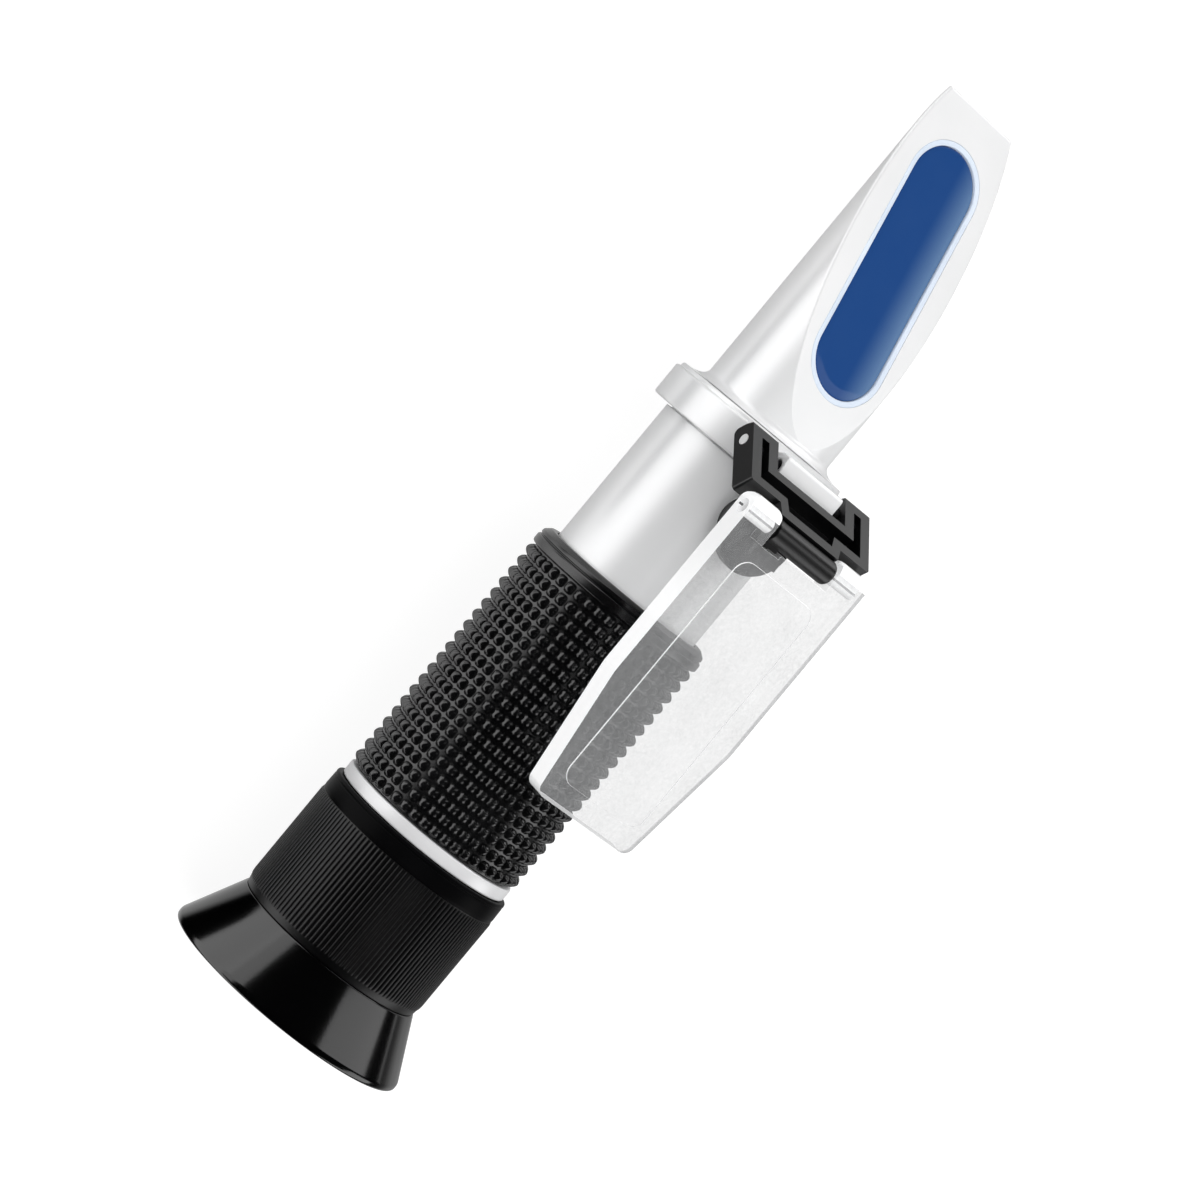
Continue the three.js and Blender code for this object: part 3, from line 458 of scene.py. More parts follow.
# Rings of equal count, capped at both ends or joined in a loop
def lofted(name, rings, finish, place=instrumentFrame, smooth=32, looped=False):
    count, amount = len(rings[0]), len(rings)
    faces = [] if looped else [tuple(range(count)), tuple((amount - 1) * count + k for k in range(count))]
    for i in range(amount if looped else amount - 1):
        j = (i + 1) % amount
        for k in range(count):
            n = (k + 1) % count
            faces.append((i * count + k, j * count + k, j * count + n, i * count + n))
    return newPiece(name, [p for ring in rings for p in ring], faces, place, finish, smooth)


def slab(name, outline, low, high, finish, place, upright="Z"):  # an outline with thickness
    rings = [[(p.x, p.y, height) if upright == "Z" else (p.x, height, p.y) for p in outline]
             for height in (low, high)]
    return lofted(name, rings, finish, place)


def block(name, x, y, z, finish, place):
    return slab(name, [Vector((x[0], y[0])), Vector((x[1], y[0])), Vector((x[1], y[1])), Vector((x[0], y[1]))],
                z[0], z[1], finish, place)


# Geometry Nodes: one small shape set in rows round the optical axis
def ringTree():
    tree = bpy.data.node_groups.new("rows round the axis", "GeometryNodeTree")
    for label, kind in (("Geometry", "Geometry"), ("Rows", "Int"), ("Around", "Int"), ("Pitch", "Float"),
                        ("Radius", "Float"), ("Start", "Float"), ("Axis height", "Float"), ("Seed", "Int"),
                        ("Uneven", "Float"), ("Finish", "Material")):
        tree.interface.new_socket(label, in_out="INPUT", socket_type="NodeSocket" + kind)
    tree.interface.new_socket("Geometry", in_out="OUTPUT", socket_type="NodeSocketGeometry")
    start = tree.nodes.new("NodeGroupInput")
    ending = tree.nodes.new("NodeGroupOutput")
    value = {socket.name: Wire(tree, socket) for socket in start.outputs if socket.name}
    wire = Wire(tree)
    amount = value["Rows"] * value["Around"]
    spots = wire.add("GeometryNodePoints", {}, {"Count": amount})
    number = wire.add("GeometryNodeInputIndex")
    row = wire.maths("FLOOR", number / value["Around"])
    column = number - row * value["Around"]
    angle = column / value["Around"] * (2 * math.pi)
    station = value["Start"] + (row + 0.5) * value["Pitch"]
    across = value["Radius"] * wire.maths("COSINE", angle)
    upward = value["Radius"] * wire.maths("SINE", angle) + value["Axis height"]
    spot = wire.add("ShaderNodeCombineXYZ", {}, {0: station, 1: across, 2: upward})
    placed = wire.add("GeometryNodeSetPosition", {}, {"Geometry": spots, "Position": spot})
    lean = wire.add("ShaderNodeCombineXYZ", {}, {0: angle - math.pi / 2})
    chance = wire.add("FunctionNodeRandomValue", {"data_type": "FLOAT"},
                      {2: 1 - value["Uneven"], 3: 1 + value["Uneven"], "Seed": value["Seed"]}, 1)
    size = wire.add("ShaderNodeCombineXYZ", {}, {0: 1.0, 1: 1.0, 2: chance})
    copies = wire.add("GeometryNodeInstanceOnPoints", {}, {
        "Points": placed, "Instance": value["Geometry"], "Rotation": lean, "Scale": size})
    whole = wire.add("GeometryNodeRealizeInstances", {}, {"Geometry": copies})
    dressed = wire.add("GeometryNodeSetMaterial", {}, {"Geometry": whole, "Material": value["Finish"]})
    tree.links.new(dressed.socket, ending.inputs[0])
    return tree


rowsRoundAxis = ringTree()


def ringOf(name, rings, finish, **sizes):  # the shape's rings are drawn with Z outwards and X along the axis
    made = lofted(name, rings, finish, Matrix.Diagonal((mm, mm, mm, 1)), 50)
    change = made.modifiers.new("rows", "NODES")
    change.node_group = rowsRoundAxis
    values = {**sizes, "Axis height": axisZ, "Finish": finishes[finish]}
    for socket in rowsRoundAxis.interface.items_tree:
        if socket.in_out == "INPUT" and socket.name in values:
            change[socket.identifier] = values[socket.name]
    baked(made)
    made.data.materials.clear()
    made.data.materials.append(finishes[finish])
    return made


cutReach = 16  # past every side


def drilled(piece, finish, place, radius, sides, start=-cutReach):  # a hole across, from start to past the near side
    outline = [(start, 0), (cutReach, 0), (cutReach, radius), (start, radius)]
    combined(piece, turned("hole", outline, finish, "Y", place=place, sides=sides))


def stands(piece, bodyName, slotName, *replaced):
    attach(piece, bodyName)
    if replaced:
        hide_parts(*replaced)


# Eyecup: flared glossy rubber, its rim rounded, stretched over the ring's nose
eyecup = {"radius": 19.93, "end": 10.06, "neck": 15.3, "wall": 1.5, "seat": 13.05, "seatStart": 5.9,
          "rimRound": 0.45, "neckRound": 0.35}


def makeEyecup():
    e = eyecup
    outline = roundedOutline([
        (0, e["radius"] - e["wall"], 0.35), (0, e["radius"], e["rimRound"]), (1.0, e["radius"] - 0.03, 1.2),
        (e["end"], e["neck"], e["neckRound"]), (e["end"], e["seat"], 0.1), (e["seatStart"], e["seat"], 0.6)], 6)
    stands(turned("eyecup_cone", outline, "eyecup", sides=224), "focus", "eyecup_rubber", "eyecup")


# Focus ring: fine flutes, then a polished band with a small bead at its end
focusRing = {"radius": 15.5, "fluteDepth": 0.17, "flutes": 132, "band": 3.2, "nose": 13.0, "noseStart": 6.2,
             "bore": 12.7, "webBore": 10.6, "web": 4.2, "fluteWidth": 0.6, "shoulder": 1.1}


def makeFocusRing():
    f = focusRing
    start, end = body["focusStart"], body["focusEnd"]
    root = f["radius"] - f["fluteDepth"]
    band = end - f["band"]
    outline = roundedOutline([
        (f["noseStart"], f["webBore"]), (f["noseStart"], f["nose"], 0.2), (start, f["nose"]),
        (start, root - 0.2, 0.1), (start + f["shoulder"], root, 1.0), (band, root), (band, f["nose"]),
        (start + f["web"], f["nose"]), (start + f["web"], f["webBore"])], 5)
    stands(turned("focus_sleeve", outline, "ring", sides=192), "focus", "ring_black", "focus_ring")
    outline = roundedOutline([
        (band, f["bore"]), (band, root + 0.02, 0.05), (band + 0.5, f["radius"] - 0.1, 0.5),
        (end - 0.75, f["radius"] - 0.16, 0.3), (end - 0.62, f["radius"] - 0.3, 0.06),
        (end - 0.5, f["radius"] - 0.14, 0.12),
        (end, f["radius"] - 0.2, 0.35), (end, f["bore"], 0.2)], 5)
    stands(turned("focus_band", outline, "band", sides=192), "focus", "ring_black")
    length = band - start - f["shoulder"] - 0.1
    rings = []
    for along, high in ((-length / 2, 0.05), (-length / 2 + 0.3, 0.7), (-length / 2 + 0.8, 1.0),
                        (length / 2 - 0.4, 1.0), (length / 2, 0.4)):
        ring = []
        for k in range(7):
            angle = math.pi * k / 6
            ring.append((along, f["fluteWidth"] / 2 * math.cos(angle),
                         f["fluteDepth"] * high * math.sin(angle) if 0 < k < 6 else -0.05))
        rings.append(ring)
    flutes = ringOf("focus_flutes", rings, "ring", Rows=1, Around=f["flutes"],
                    Pitch=length * mm, Radius=root * mm, Start=rimX + (start + f["shoulder"]) * mm,
                    Seed=3, Uneven=0.0)
    stands(flutes, "focus", "ring_black")


trimRing = {"radius": 14.6, "bore": 12.7, "spread": 0.2}


def makeTrimRing():
    t = trimRing
    start, end = body["trimStart"] - t["spread"], body["trimEnd"] + t["spread"]
    outline = roundedOutline([(start, t["bore"], 0.1), (start, t["radius"], 0.3),
                              (end, t["radius"], 0.3), (end, t["bore"], 0.1)], 5)
    stands(turned("trim_band", outline, "trim", sides=192), "tube", "bright_metal", "trim_ring")


# Grip: a rubber sleeve with rows of studs and a grooved smooth end
grip = {"radius": 14.9, "rowDepth": 0.82, "rows": 20, "around": 48, "band": 3.2, "lead": 0.15, "bore": 12.7,
        "studLength": 1.86, "studWidth": 1.78, "studHeight": 0.79, "uneven": 0.06}


def makeGrip():
    g = grip
    start, end = body["gripStart"], body["gripEnd"]
    root = g["radius"] - g["rowDepth"]
    band = end - g["band"]
    outline = roundedOutline([
        (start, g["bore"], 0.1), (start, root, 0.25), (band + 0.1, root, 0.1), (band + 0.3, g["radius"] - 0.05, 0.4),
        (band + 1.6, g["radius"] - 0.05, 0.45), (band + 1.8, g["radius"] - 0.55, 0.1),
        (band + 2.0, g["radius"] - 0.25, 0.15), (band + 2.5, g["radius"] - 0.35, 0.3),
        (end, g["radius"] - 1.2, 0.45), (end, g["bore"], 0.1),
    ], 5)
    stands(turned("grip_rubber_sleeve", outline, "grip", sides=192), "tube", "grip_rubber", "grip_sleeve")
    rings = []
    for height, share, squareness in ((-0.12, 1.0, 0.6), (0.1, 0.96, 0.6), (0.42, 0.79, 0.64), (0.7, 0.57, 0.7),
                                      (0.9, 0.34, 0.85), (1.0, 0.12, 1.0)):
        ring = []
        for k in range(12):
            angle = 2 * math.pi * (k + 0.5) / 12
            c, s = math.cos(angle), math.sin(angle)
            ring.append((g["studLength"] / 2 * share * math.copysign(abs(c) ** squareness, c),
                         g["studWidth"] / 2 * share * math.copysign(abs(s) ** squareness, s),
                         g["studHeight"] * height))
        rings.append(ring)
    pitch = (end - start - g["band"] - g["lead"]) / g["rows"]
    studs = ringOf("grip_studs", rings, "grip", Rows=g["rows"], Around=g["around"],
                   Pitch=pitch * mm, Radius=root * mm, Start=rimX + (start + g["lead"]) * mm,
                   Seed=11, Uneven=g["uneven"])
    stands(studs, "tube", "grip_rubber")


mainTube = {"radius": 12.4, "bore": 10.6, "tenon": 11.6, "tenonLength": 1.9, "start": 14.6, "capHole": 3.7}


def makeMainTube():
    t = mainTube
    end = body["collarStart"] + t["tenonLength"]
    outline = [(t["start"], t["bore"]), (t["start"], t["radius"]), (body["collarStart"] - 0.3, t["radius"]),
               (body["collarStart"] - 0.3, t["tenon"]), (end, t["tenon"]), (end, t["bore"])]
    piece = turned("tube_body", outline, "satin", sides=192)
    hole = turned("hole", [(0, 0), (20, 0), (20, t["capHole"]), (0, t["capHole"])], "satin", "Z",
                  (body["capStation"], 0, 0), sides=64)
    combined(piece, hole)
    cleaned(piece)
    stands(piece, "tube", "satin_metal", "main_tube")


collar = {"radius": 15.0, "lip": 0.55, "lipLength": 1.1, "flat": 12.6, "tubeBore": 11.9, "headBore": 9.9,
          "socketEnd": 102.7, "edge": 0.35}


def makeCollar():
    c = collar
    start, end = body["collarStart"], body["collarEnd"]
    outline = roundedOutline([
        (start, c["tubeBore"], 0.1), (start, c["radius"], c["edge"]),
        (end - c["lipLength"] + 0.2, c["radius"], 0.35), (end - c["lipLength"] + 0.35, c["radius"] - c["lip"], 0.08),
        (end - 0.1, c["radius"] - c["lip"] - 0.1, 0.45), (end, c["headBore"], 0.1),
        (c["socketEnd"], c["headBore"]), (c["socketEnd"], c["tubeBore"]),
    ], 5)
    piece = turned("collar_ring", outline, "satin", sides=224)
    combined(piece, block("flat", (start - 2, end + 2), (-cutReach, cutReach), (c["flat"], 20), "satin",
                          instrumentFrame))
    cleaned(piece)
    stands(piece, "tube", "satin_metal", "collar")


# Prism head: round sections whose tops are cut by the sloping face, each corner with a small round
head = {"cornerRound": 0.45, "endRound": 0.3, "cove": 2.3, "spigot": 9.6, "spigotLength": 2.4, "pocketHalfWidth": 7.0,
        "pocketLength": 42.4, "pocketStart": 7.4, "pocketDepth": 4.0}


def headSection(height, radius, corner, flatSteps=8, cornerSteps=6, roundSteps=64):
    reach = math.sqrt(max((radius - corner) ** 2 - (height - corner) ** 2, 0))
    tilt = math.atan2(height - corner, reach)
    points = [Vector((reach * k / flatSteps, height)) for k in range(flatSteps + 1)]
    for k in range(1, cornerSteps + 1):
        angle = math.pi / 2 + (tilt - math.pi / 2) * k / cornerSteps
        points.append(Vector((reach + corner * math.cos(angle), height - corner + corner * math.sin(angle))))
    for k in range(1, roundSteps + 1):
        angle = tilt - (tilt + math.pi / 2) * k / roundSteps
        points.append(Vector((radius * math.cos(angle), radius * math.sin(angle))))
    return points + [Vector((-p.x, p.y)) for p in points[-2:0:-1]]


def pocketOutline(inset=0.0, steps=32):  # on the sloping face, long with round ends
    half, wide = head["pocketLength"] / 2, head["pocketHalfWidth"]
    middle, straight, radius = head["pocketStart"] + half, half - wide, wide - inset
    points = []
    for side in (1, -1):
        for k in range(steps + 1):
            angle = math.pi * (k / steps - 0.5)
            points.append(Vector((middle + side * (straight + radius * math.cos(angle)),
                                  side * radius * math.sin(angle))))
    return points


def makeHead():
    h = head
    radius = body["headRadius"]
    start, end, back = body["headStart"], body["headEnd"], body["collarEnd"] + 0.03
    spigot, slope, steps = h["spigot"], math.tan(faceSlope), 60
    sections = [(body["collarEnd"] - h["spigotLength"], spigot, spigot, 0, 0), (back, spigot, spigot, 0, 0)]
    for left, done in quarter(8):
        wide = radius + h["cove"] * left
        sections.append((back + (start - back) * done, wide, wide, 0, 0))
    for k in range(1, steps + 1):
        along = (end - h["endRound"] - start) * (k / steps) ** 2
        corner = h["cornerRound"] * min(1, along / 4)
        sections.append((start + along, radius - along * slope, radius, corner, 0))
    for left, done in quarter(5)[1:]:
        along = end - h["endRound"] * left
        sections.append((along, radius - (along - start) * slope, radius, h["cornerRound"], h["endRound"] * done))
    rings = [[(along, p.x, p.y) for p in inwards(headSection(height, wide, corner), inset)]
             for along, height, wide, corner, inset in sections]
    piece = lofted("head_shell", rings, "satin", smooth=28)
    combined(piece, slab("pocket", pocketOutline(), -h["pocketDepth"], 3, "satin", faceFrame))
    cleaned(piece, 28)
    stands(piece, "tube", "satin_metal", "prism_head")


# Window: the glass and the pale seal round it
window = {"fit": 0.03, "seal": 0.85, "recess": 0.12, "chamfer": 0.3, "shoulder": 1.9, "shoulderDrop": 0.16,
          "bedding": 0.3}


def makeWindow():
    w = window
    low = -head["pocketDepth"] + w["bedding"]
    outer = pocketOutline(w["fit"])
    rings = []
    for drawn, height in ((0, low), (0, -0.06), (0.04, -0.01), (0.12, 0.01), (w["seal"] - 0.2, 0),
                          (w["seal"] - 0.06, -0.05), (w["seal"], -0.16), (w["seal"], low)):
        rings.append([(p.x, p.y, height) for p in inwards(outer, drawn)])
    seal = lofted("window_seal", rings, "seal", faceFrame, 40, looped=True)
    stands(seal, "tube", "seal", "prism_seal")
    inner = pocketOutline(w["fit"] + w["seal"] + w["fit"])
    top = -w["recess"]
    glassRings = [(0, low), (0, top - w["shoulderDrop"] - w["chamfer"])]
    for left, done in quarter(4):
        glassRings.append((w["chamfer"] * done, top - w["shoulderDrop"] - w["chamfer"] * left))
    for k, (left, done) in enumerate(quarter(6)):
        glassRings.append((w["chamfer"] + w["shoulder"] * k / 6, top - w["shoulderDrop"] * left))
    prism = lofted("prism_glass", [[(p.x, p.y, height) for p in inwards(inner, drawn)]
                                   for drawn, height in glassRings], "blue", faceFrame, 50)
    stands(prism, "tube", "blue_glass", "prism")


# Hinge lug on the collar, with two ears behind the bracket
lug = {"radius": 1.7, "front": 2.2, "topRound": 0.5, "halfWidth": 5.8, "rear": 2.6, "relief": 0.9,
       "earReach": 4.3, "earThick": 1.0, "earWidth": 1.8, "earGap": 0.3, "base": 12.9, "bore": 1.1, "edge": 0.18}


def makeLug():
    g = lug
    low = g["base"] - body["lugPinHeight"]
    tilt = math.radians(body["bracketTilt"])
    place = instrumentFrame @ Matrix.Translation((body["lugPin"], 0, body["lugPinHeight"]))
    along = Vector((-math.cos(tilt), math.sin(tilt)))
    behind = Vector((-math.sin(tilt), -math.cos(tilt)))
    main = roundedOutline([
        (-g["rear"], low), (g["radius"] - g["relief"], low), (g["front"], -0.2),
        (g["front"], g["radius"], g["topRound"]), (-g["radius"], g["radius"], g["topRound"]),
        (-g["radius"], 0), (-g["rear"], -g["radius"])], 4)
    rest = behind * (bracket["thick"] / 2 + g["earGap"])
    tip = rest + along * g["earReach"]
    ear = [Vector((0, low)), rest, tip, tip + behind * g["earThick"], Vector((-g["rear"], -g["radius"])),
           Vector((-g["rear"], low))]
    piece = slab("lug_block", main, -g["halfWidth"], g["halfWidth"], "satin", place, upright="Y")
    for side in (-1, 1):
        inner, outer = sorted((side * (g["halfWidth"] - g["earWidth"]), side * g["halfWidth"]))
        combined(piece, slab("ear", ear, inner, outer, "satin", place, upright="Y"), "UNION")
    drilled(piece, "satin", place, g["bore"], 32)
    softened(piece, g["edge"], 3)
    stands(piece, "tube", "satin_metal", "hinge_lug")


pins = {"radius": 0.8, "trim": 0.1, "chamfer": 0.12, "lugHalf": 12.65, "barrelHalf": 11.6, "endMore": 0.02}


def makePins():  # the lug pin is black along its middle, painted shade for the bracket's dark hollow, with two bright ends; the barrel pin bright
    for name, place, half, finish, bodyName, slotName, node in (
            ("lug_pin", bracketFrame, pins["lugHalf"], "anodised", "tube", "black_metal", "bracket_pin"),
            ("barrel_pin", plateFrame, pins["barrelHalf"], "bright", "bracket", "bright_metal", "plate_pin")):
        end = half - pins["trim"]
        outline = [(-end, 0), (-end, pins["radius"] - pins["chamfer"]), (-end + pins["chamfer"], pins["radius"]),
                   (end - pins["chamfer"], pins["radius"]), (end, pins["radius"] - pins["chamfer"]), (end, 0)]
        stands(turned(name, outline, finish, "Y", place=place, sides=32), bodyName, slotName, node)
    for side, name in ((1, "lug_pin_end_near"), (-1, "lug_pin_end_far")):
        low, high = sorted((side * (pins["lugHalf"] - 2 * pins["trim"]), side * bracket["halfWidth"]))
        radius = pins["radius"] + pins["endMore"]
        outline = [(low, 0), (low, radius), (high, radius), (high, 0)]
        stands(turned(name, outline, "bright", "Y", place=bracketFrame, sides=32), "tube", "bright_metal")


# Hinge bracket: hollow, with two arms at the lug and a barrel for the plate
bracket = {"thick": 3.5, "halfWidth": 12.6, "reach": 9.8, "notchDepth": 4.8, "notchHalf": 7.3, "tongueHalf": 6.0,
           "tongueReach": 11.8, "flare": 0.45, "wall": 1.4, "backWall": 1.5, "armWall": 1.9, "tipWall": 1.9,
           "deck": 1.1, "corner": 0.5, "tipMore": 0.8, "tipRound": 0.9, "barrelRadius": 1.85,
           "barrelHalf": 6.3, "barrelChamfer": 0.6, "web": 1.5, "bore": 0.9, "edge": 0.14}
blocks = [  # under the barrel, in the plate's frame: along, across, up
    ("step", (-2.4, 0), (3.25, 6.15), (-0.8, 0.8)),
    ("tab", (-4.6, 0), (-0.6, 4.4), (-3.05, -2.15)),
    ("neck", (-0.925, 0.925), (-0.6, 4.4), (-3.05, 0)),
]


def bracketOutline(inset=0.0, backInset=0.0, armInset=0.0, tipInset=0.0):
    b = bracket
    tip = b["thick"] / 2
    back, tongueBack, notch = tip - b["reach"], tip - b["tongueReach"], tip - b["notchDepth"]
    tip += b["tipMore"] - tipInset
    armInner, wide, tongue = b["notchHalf"] + armInset, b["halfWidth"] - armInset, b["tongueHalf"] - inset
    corner = 0 if inset > 0 else b["corner"]
    return roundedOutline([
        *mirrored([(tip, armInner), (tip, wide), (back + backInset, wide, corner),
                   (back + backInset, tongue + b["flare"]), (tongueBack + backInset, tongue)]),
        (notch - inset, -armInner), (notch - inset, armInner)], 4)


def makeBracket():
    b = bracket
    face = b["thick"] / 2
    tip = face + b["tipMore"]
    piece = slab("bracket_moulding", bracketOutline(), -face, face, "bracket", bracketFrame)
    tips = roundedOutline([(-20, -face), (tip, -face, b["tipRound"]), (tip, 0.3 * face, 1.2), (tip - 0.35, face, 0.2),
                           (-20, face)], 8)
    combined(piece, slab("tips", tips, -13, 13, "bracket", bracketFrame, upright="Y"), "INTERSECT")
    outline = bracketOutline(b["wall"], b["backWall"], b["armWall"], b["tipWall"])
    combined(piece, slab("hollow", outline, -face + b["deck"], face + 1, "bracket", bracketFrame))
    half, trim = b["barrelHalf"], b["barrelChamfer"]
    seat = (-body["pinSeatReach"], 0, -body["pinSeatDrop"])
    barrelOutline = roundedOutline([
        (-half, 0), (-half, b["barrelRadius"], trim), (half, b["barrelRadius"], trim), (half, 0)], 4)
    barrel = turned("barrel", [(p.x, max(p.y, 0)) for p in barrelOutline], "bracket", "Y", seat, bracketFrame, 64)
    combined(piece, barrel, "UNION")
    combined(piece, block("web", (seat[0], face - b["tongueReach"] + b["wall"]), (-half + 0.3, half - 0.3),
                          (seat[2] - b["web"] / 2, seat[2] + b["web"] / 2), "bracket", bracketFrame), "UNION")
    for name, along, across, up in blocks:
        combined(piece, block(name, along, across, up, "bracket", plateFrame), "UNION")
    for place in (bracketFrame, plateFrame):
        drilled(piece, "bracket", place, b["bore"], 40)
    softened(piece, b["edge"], 2, 35)
    piece.data.materials.append(finishes["armSide"])
    for face in piece.data.polygons:  # the arms' outer sides are duller
        if abs(face.normal.y) > 0.9 and abs(face.center.y) > (b["halfWidth"] - 0.1) * mm:
            face.material_index = len(piece.data.materials) - 1
    stands(piece, "bracket", "bracket_black", "hinge_bracket")


# Daylight plate: clear, with rounded ears and a raised pad; a face attribute marks its walls and edges for a painted
# highlight
plate = {"halfWidth": 12.0, "thick": 3.7, "reach": 47.7, "taper": 28.2, "endHalf": 9.2, "corner": 1.6,
         "ear": 2.6, "slotReach": 2.1, "stepReach": 2.7, "slotHalf": 6.5, "stepEnd": 3.0, "padHalf": 7.7,
         "padStart": 5.2, "padLength": 39.0, "padRise": 0.2, "padCorner": 2.2, "bore": 1.1, "boreReach": 11.3,
         "edge": 0.35, "flatFace": 0.985, "wallFace": 0.3, "farFace": -0.2, "farFrom": -8}


def makePlate():
    p = plate
    top = p["thick"] / 2
    outline = roundedOutline([
        *mirrored([(p["ear"], p["halfWidth"], p["corner"]), (-p["taper"], p["halfWidth"], 6),
                   (-p["reach"], p["endHalf"], p["corner"])]),
        (p["ear"], -p["slotHalf"], 0.9), (-p["slotReach"], -p["slotHalf"]), (-p["slotReach"], p["stepEnd"]),
        (-p["stepReach"], p["stepEnd"]), (-p["stepReach"], p["slotHalf"]), (p["ear"], p["slotHalf"], 0.9)], 6)
    piece = slab("plate_moulding", outline, -top, top, "clear", plateFrame)
    centre = p["ear"] - top
    bow = [math.pi * (k / 24 - 0.5) for k in range(25)]
    side = [Vector((-60, -top)), *(Vector((centre + top * math.cos(a), top * math.sin(a))) for a in bow),
            Vector((-60, top))]
    combined(piece, slab("ears", side, -13, 13, "clear", plateFrame, upright="Y"), "INTERSECT")
    ends = (-p["padStart"], -p["padStart"] - p["padLength"])
    pad = roundedOutline(mirrored([(x, p["padHalf"], p["padCorner"]) for x in ends]), 6)
    combined(piece, slab("pad", pad, 0, top + p["padRise"], "clear", plateFrame), "UNION")
    drilled(piece, "clear", plateFrame, p["bore"], 40, -p["boreReach"])
    softened(piece, p["edge"], 3, 35)
    highlightMark = piece.data.attributes.new("rim", "FLOAT", "FACE")
    piece.data.materials.append(finishes["clearEdge"])
    for face in piece.data.polygons:  # the flat faces, the far wall and the slot's walls are clear; the other walls and the edges get the painted highlight, and the far wall carries the painted dark line
        way, spot = face.normal, face.center
        inSlot = (abs(spot.y) < (p["slotHalf"] + 0.1) * mm
                  and abs(spot.x - plateFrame.translation.x) < (p["stepReach"] + 0.1) * mm)
        far = spot.y < p["farFrom"] * mm and way.y < p["farFace"]
        clearer = far or abs(way.z) > p["flatFace"] or (inSlot and abs(way.z) < p["wallFace"])
        highlightMark.data[face.index].value = 0.0 if clearer else 1.0
        if far:
            face.material_index = len(piece.data.materials) - 1
    stands(piece, "plate", "clear_plastic", "daylight_plate")


# Calibration screw's cap: hollow, its foot cut to the tube
cap = {"radius": 5.95, "top": 17.4, "brim": 2.5, "neck": 4.3, "round": 0.8, "bore": 3.7, "boreTop": 14.9,
       "foot": 8, "seatGap": 0.3}


def makeCap():
    c = cap
    outline = roundedOutline([
        (c["foot"], c["neck"]), (c["top"] - c["brim"], c["neck"], 0.3), (c["top"] - c["brim"], c["radius"], 0.3),
        (c["top"], c["radius"], c["round"]), (c["top"], 0), (c["boreTop"], 0), (c["boreTop"], c["bore"]),
        (c["foot"], c["bore"])], 6)
    piece = turned("cap_dome", [(max(p.x, 0), max(p.y, 0)) for p in outline], "cap", "Z",
                   (body["capStation"], 0, 0), sides=96)
    seat = mainTube["radius"] + c["seatGap"]
    shell = [(60, 0), (130, 0), (130, seat), (60, seat)]
    combined(piece, turned("seat", shell, "cap", sides=192))
    cleaned(piece, 40)
    stands(piece, "cap", "cap_rubber", "screw_cap")


# Eyepiece, seen through the eyecup
eyepiece = {"start": 7.4, "length": 18.0, "radius": 10.3, "wall": 1.0, "lensRadius": 9.0, "lensEdge": 0.8,
            "stop": 12.6, "stopThick": 0.2, "stopDepth": 0.7, "ringStart": 7.7, "ringEnd": 9.3, "ringBore": 7.5}


def makeEyepiece():
    e = eyepiece
    bore, end = e["radius"] - e["wall"], e["start"] + e["length"]
    stop, stopEnd, stopBore = e["stop"], e["stop"] + e["stopThick"], bore - e["stopDepth"]
    outline = roundedOutline([
        (e["start"], bore, 0.2), (e["start"], e["radius"], 0.3), (end, e["radius"]), (end, bore),
        (stopEnd, bore), (stopEnd, stopBore), (stop, stopBore), (stop, bore)], 4)
    stands(turned("eyepiece_barrel", outline, "anodised", sides=128), "eyepiece", "black_metal", "eyepiece_cell")
    ring = roundedOutline([
        (e["ringStart"], e["lensRadius"], 0.15), (e["ringEnd"], e["lensRadius"], 0.1),
        (e["ringEnd"], e["ringBore"], 0.1), (e["ringStart"], e["ringBore"], 0.5)], 4)
    stands(turned("eyepiece_ring", ring, "anodised", sides=128), "eyepiece", "black_metal", "eyepiece_retainer")
    low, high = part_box("eye_lens")
    middle = ((low.x + high.x) / 2 - rimX) / mm
    halfEdge = e["lensEdge"]
    bulge = (high.x - low.x) / mm / 2 - halfEdge
    share = [k / 12 for k in range(13)]
    outline = [(middle + halfEdge + bulge * (1 - out ** 2), e["lensRadius"] * out) for out in share]
    outline += [(middle - halfEdge - bulge * (1 - out ** 2), e["lensRadius"] * out) for out in share[::-1]]
    stands(turned("eye_glass", outline, "lens", sides=96), "eyepiece", "lens_glass", "eye_lens")


makeEyecup()
makeFocusRing()
makeTrimRing()
makeGrip()
print("eyecup, ring and grip made")
makeMainTube()
makeCollar()
makeHead()
makeWindow()
print("metal body and window made")
makeLug()
makePins()
makeBracket()
makePlate()
makeCap()
makeEyepiece()
print("hinge, plate, cap and eyepiece made")

carried = {
    "bright": ("lug_rivet_left", "lug_rivet_right", "calibration_screw", "compensator_screw"),
    "brass": ("calibration_bush", "guide_pin", "compensator_strip"),
    "anodised": ("compensator_block", "lens_spacer", "rear_retainer", "reticle_holder", "reticle_lock_ring",
                 "objective_cell"),
    "lens": ("field_lens", "reticle_disc", "objective_lens"),
    "inside": ("light_stop",),
}
for finish, names in carried.items():
    for name in names:
        nodes[name].data.materials.clear()
        nodes[name].data.materials.append(finishes[finish])
print("inner pieces finished:", sum(len(names) for names in carried.values()))


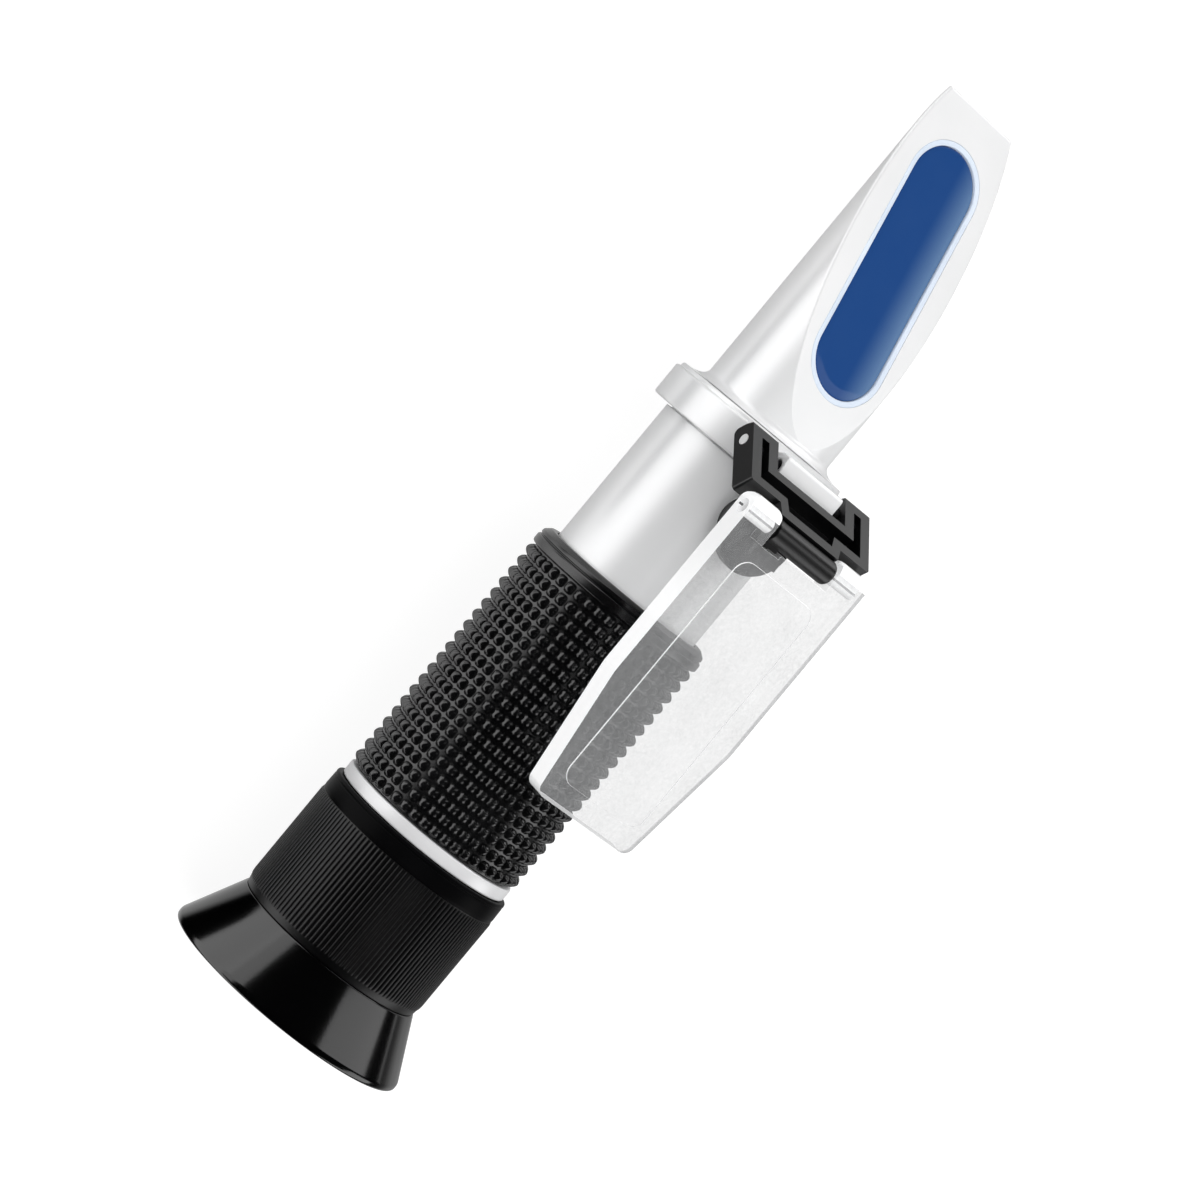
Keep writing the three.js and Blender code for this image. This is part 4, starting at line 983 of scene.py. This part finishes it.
# Floor, light and world
studio = {"floorSize": 8.0, "nearPaintedShade": (0.2, 0.2, 0.2, 1), "farColour": (0.62, 0.62, 0.62, 1), "nearLift": 0.9,
          "farLift": 0.55, "nearEdge": 0.038, "farEdge": 0.054, "halfLength": 0.07, "worldLevel": 0.008,
          "glossColour": (0.002, 0.002, 0.002, 1), "reflectionReach": 0.4, "reflectionScale": 2.0,
          # painted reflections: pale bands across the floor that glow only for glossy rays
          "paintedReflections": [(-0.4, 0.1), (-0.2, 0.15), (-0.09, 0.5), (-0.05, 0.35), (0, 0.6), (0.02, 0.6), (0.03, 1.2),
                    (0.0475, 1.7), (0.4, 1.9)],  # place across, level
          "cupBlackReflection": {"across": (0.0185, 0.022, 0.041, 0.0445), "along": (-0.05, -0.055)},  # painted black reflection, seen in the eyecup
          "armBlackReflection": {"across": (0.032, 0.037, 0.052, 0.06), "along": (-0.002, 0.006)},  # painted black reflection, seen in the bracket arms' outer sides
          # a painted pale reflection that brightens the bracket's rims
          "cornerPaleReflection": {"across": (-0.05, -0.08), "along": (0.06, 0.1), "level": 0.6}}
lamps = [  # name, place, aim, size, roll, radiance, seen in gloss
    ("overhead", (0.1, 0.1, 1.3), (0, 0, 0), (1.8, 1.8), 0, 1.7, False),
    ("front fill", (0.15, 1.15, 0.42), (0, 0, 0), (1.3, 0.7), 0, 1.9, False),
    ("head fill", (0.9, -0.5, 0.7), (0.06, 0, 0.03), (0.8, 0.8), 0, 1.9, False),
    ("end box", (0.85, -0.4, 0.15), (0, 0, 0.02), (0.7, 0.3), 0, 2.4, True),
    ("near box", (0.62, 0.95, 0.16), (0.3, 0, 0.06), (2.1, 0.28), 0, 1.5, True),
    ("far box", (0.111, -0.22, 0.244), (-0.075, 0, 0.02), (0.12, 0.335), -45, 1.45, True),
    ("far strip", (-0.55, -0.8, 0.55), (0, 0, 0.02), (1.1, 0.6), 0, 1.8, True),
]


def ray(wire, kind):
    return wire.add("ShaderNodeLightPath", output="Is " + kind + " Ray")


def blackReflectionPatch(along, across, reflectionPatch):  # 0 off the painted black reflection patch, 1 on it
    first, full, last, past = reflectionPatch["across"]
    return across.within(first, full) * across.within(past, last) * along.within(*reflectionPatch["along"])


# Painted shade: darker close to the object, lifted to white for the camera; in gloss the floor's colour goes near
# black and it shows painted reflections, pale bands and black patches that glow only for glossy rays
def makeFloor():
    s = studio
    half, low = s["floorSize"] / 2, -0.0001
    mesh = bpy.data.meshes.new("floor")
    corners = ((-half, -half, low), (half, -half, low), (half, half, low), (-half, half, low))
    mesh.from_pydata(corners, [], [(0, 1, 2, 3)])
    material, wire, shader = newFinish("pale floor", Roughness=0.9, Specular_IOR_Level=0.0,
                                       Emission_Color=(1, 1, 1, 1))
    along, across = places(wire).part(0), places(wire).part(1)
    beyond = wire.maths("MAXIMUM", wire.maths("ABSOLUTE", along) - s["halfLength"], 0.0)
    distance = wire.maths("SQRT", beyond ** 2.0 + across ** 2.0)
    far = distance.within(s["nearEdge"], s["farEdge"])
    # painted reflections, glowing only for glossy rays: pale bands, two painted black patches and one painted pale
    # patch
    reach, scale = s["reflectionReach"], s["reflectionScale"]
    stops = [((place + reach) / (2 * reach), (level / scale,) * 3 + (1,)) for place, level in s["paintedReflections"]]
    paintedReflections = wire.add("ShaderNodeValToRGB", {"stops": stops}, {0: across.within(-reach, reach)}) * scale
    paintedReflections = paintedReflections * (1 - blackReflectionPatch(along, across, s["cupBlackReflection"])) * (1 - blackReflectionPatch(along, across, s["armBlackReflection"]))
    corner = s["cornerPaleReflection"]
    paintedReflections = paintedReflections + along.within(*corner["along"]) * across.within(*corner["across"]) * corner["level"]
    seen = wire.maths("MINIMUM", ray(wire, "Camera") + ray(wire, "Transmission"), 1.0)
    glossy = ray(wire, "Glossy")
    lift = s["nearLift"] + (s["farLift"] - s["nearLift"]) * far
    # painted shade: near the object the floor's colour is darker, and the larger camera lift keeps it white there
    tone = mixColour(wire, far, s["nearPaintedShade"], s["farColour"])
    # in gloss the floor's own colour is near black, so reflections show only the painted bands and patches
    feed(shader, Base_Color=mixColour(wire, glossy, tone, s["glossColour"]),
         Emission_Strength=seen * lift + glossy * paintedReflections)
    mesh.materials.append(material)
    linked("floor", mesh)


def makeStudio():
    s = studio
    makeFloor()
    world = bpy.data.worlds.new("studio")
    world.use_nodes = True
    bpy.context.scene.world = world
    tree = world.node_tree
    back = tree.nodes["Background"]
    back.inputs["Color"].default_value = (1, 1, 1, 1)
    wire = Wire(tree)
    seen = ray(wire, "Camera") + ray(wire, "Transmission")
    level = s["worldLevel"] + seen * (1 - s["worldLevel"])
    tree.links.new(level.socket, back.inputs["Strength"])
    for name, place, aim, size, roll, radiance, glossy in lamps:
        light = bpy.data.lights.new(name, "AREA")
        light.shape = "RECTANGLE"
        light.size, light.size_y = size
        light.energy = radiance * math.pi * size[0] * size[1]
        lamp = linked(name, light)
        lamp.location = place
        way = Vector(aim) - Vector(place)
        facing = way.to_track_quat("-Z", "Y").to_matrix() @ Matrix.Rotation(math.radians(roll), 3, "Z")
        lamp.rotation_euler = facing.to_euler()
        lamp.visible_glossy = glossy
        lamp.visible_camera = False


makeStudio()
bpy.context.scene.view_settings.view_transform = "Standard"
print("studio lit")
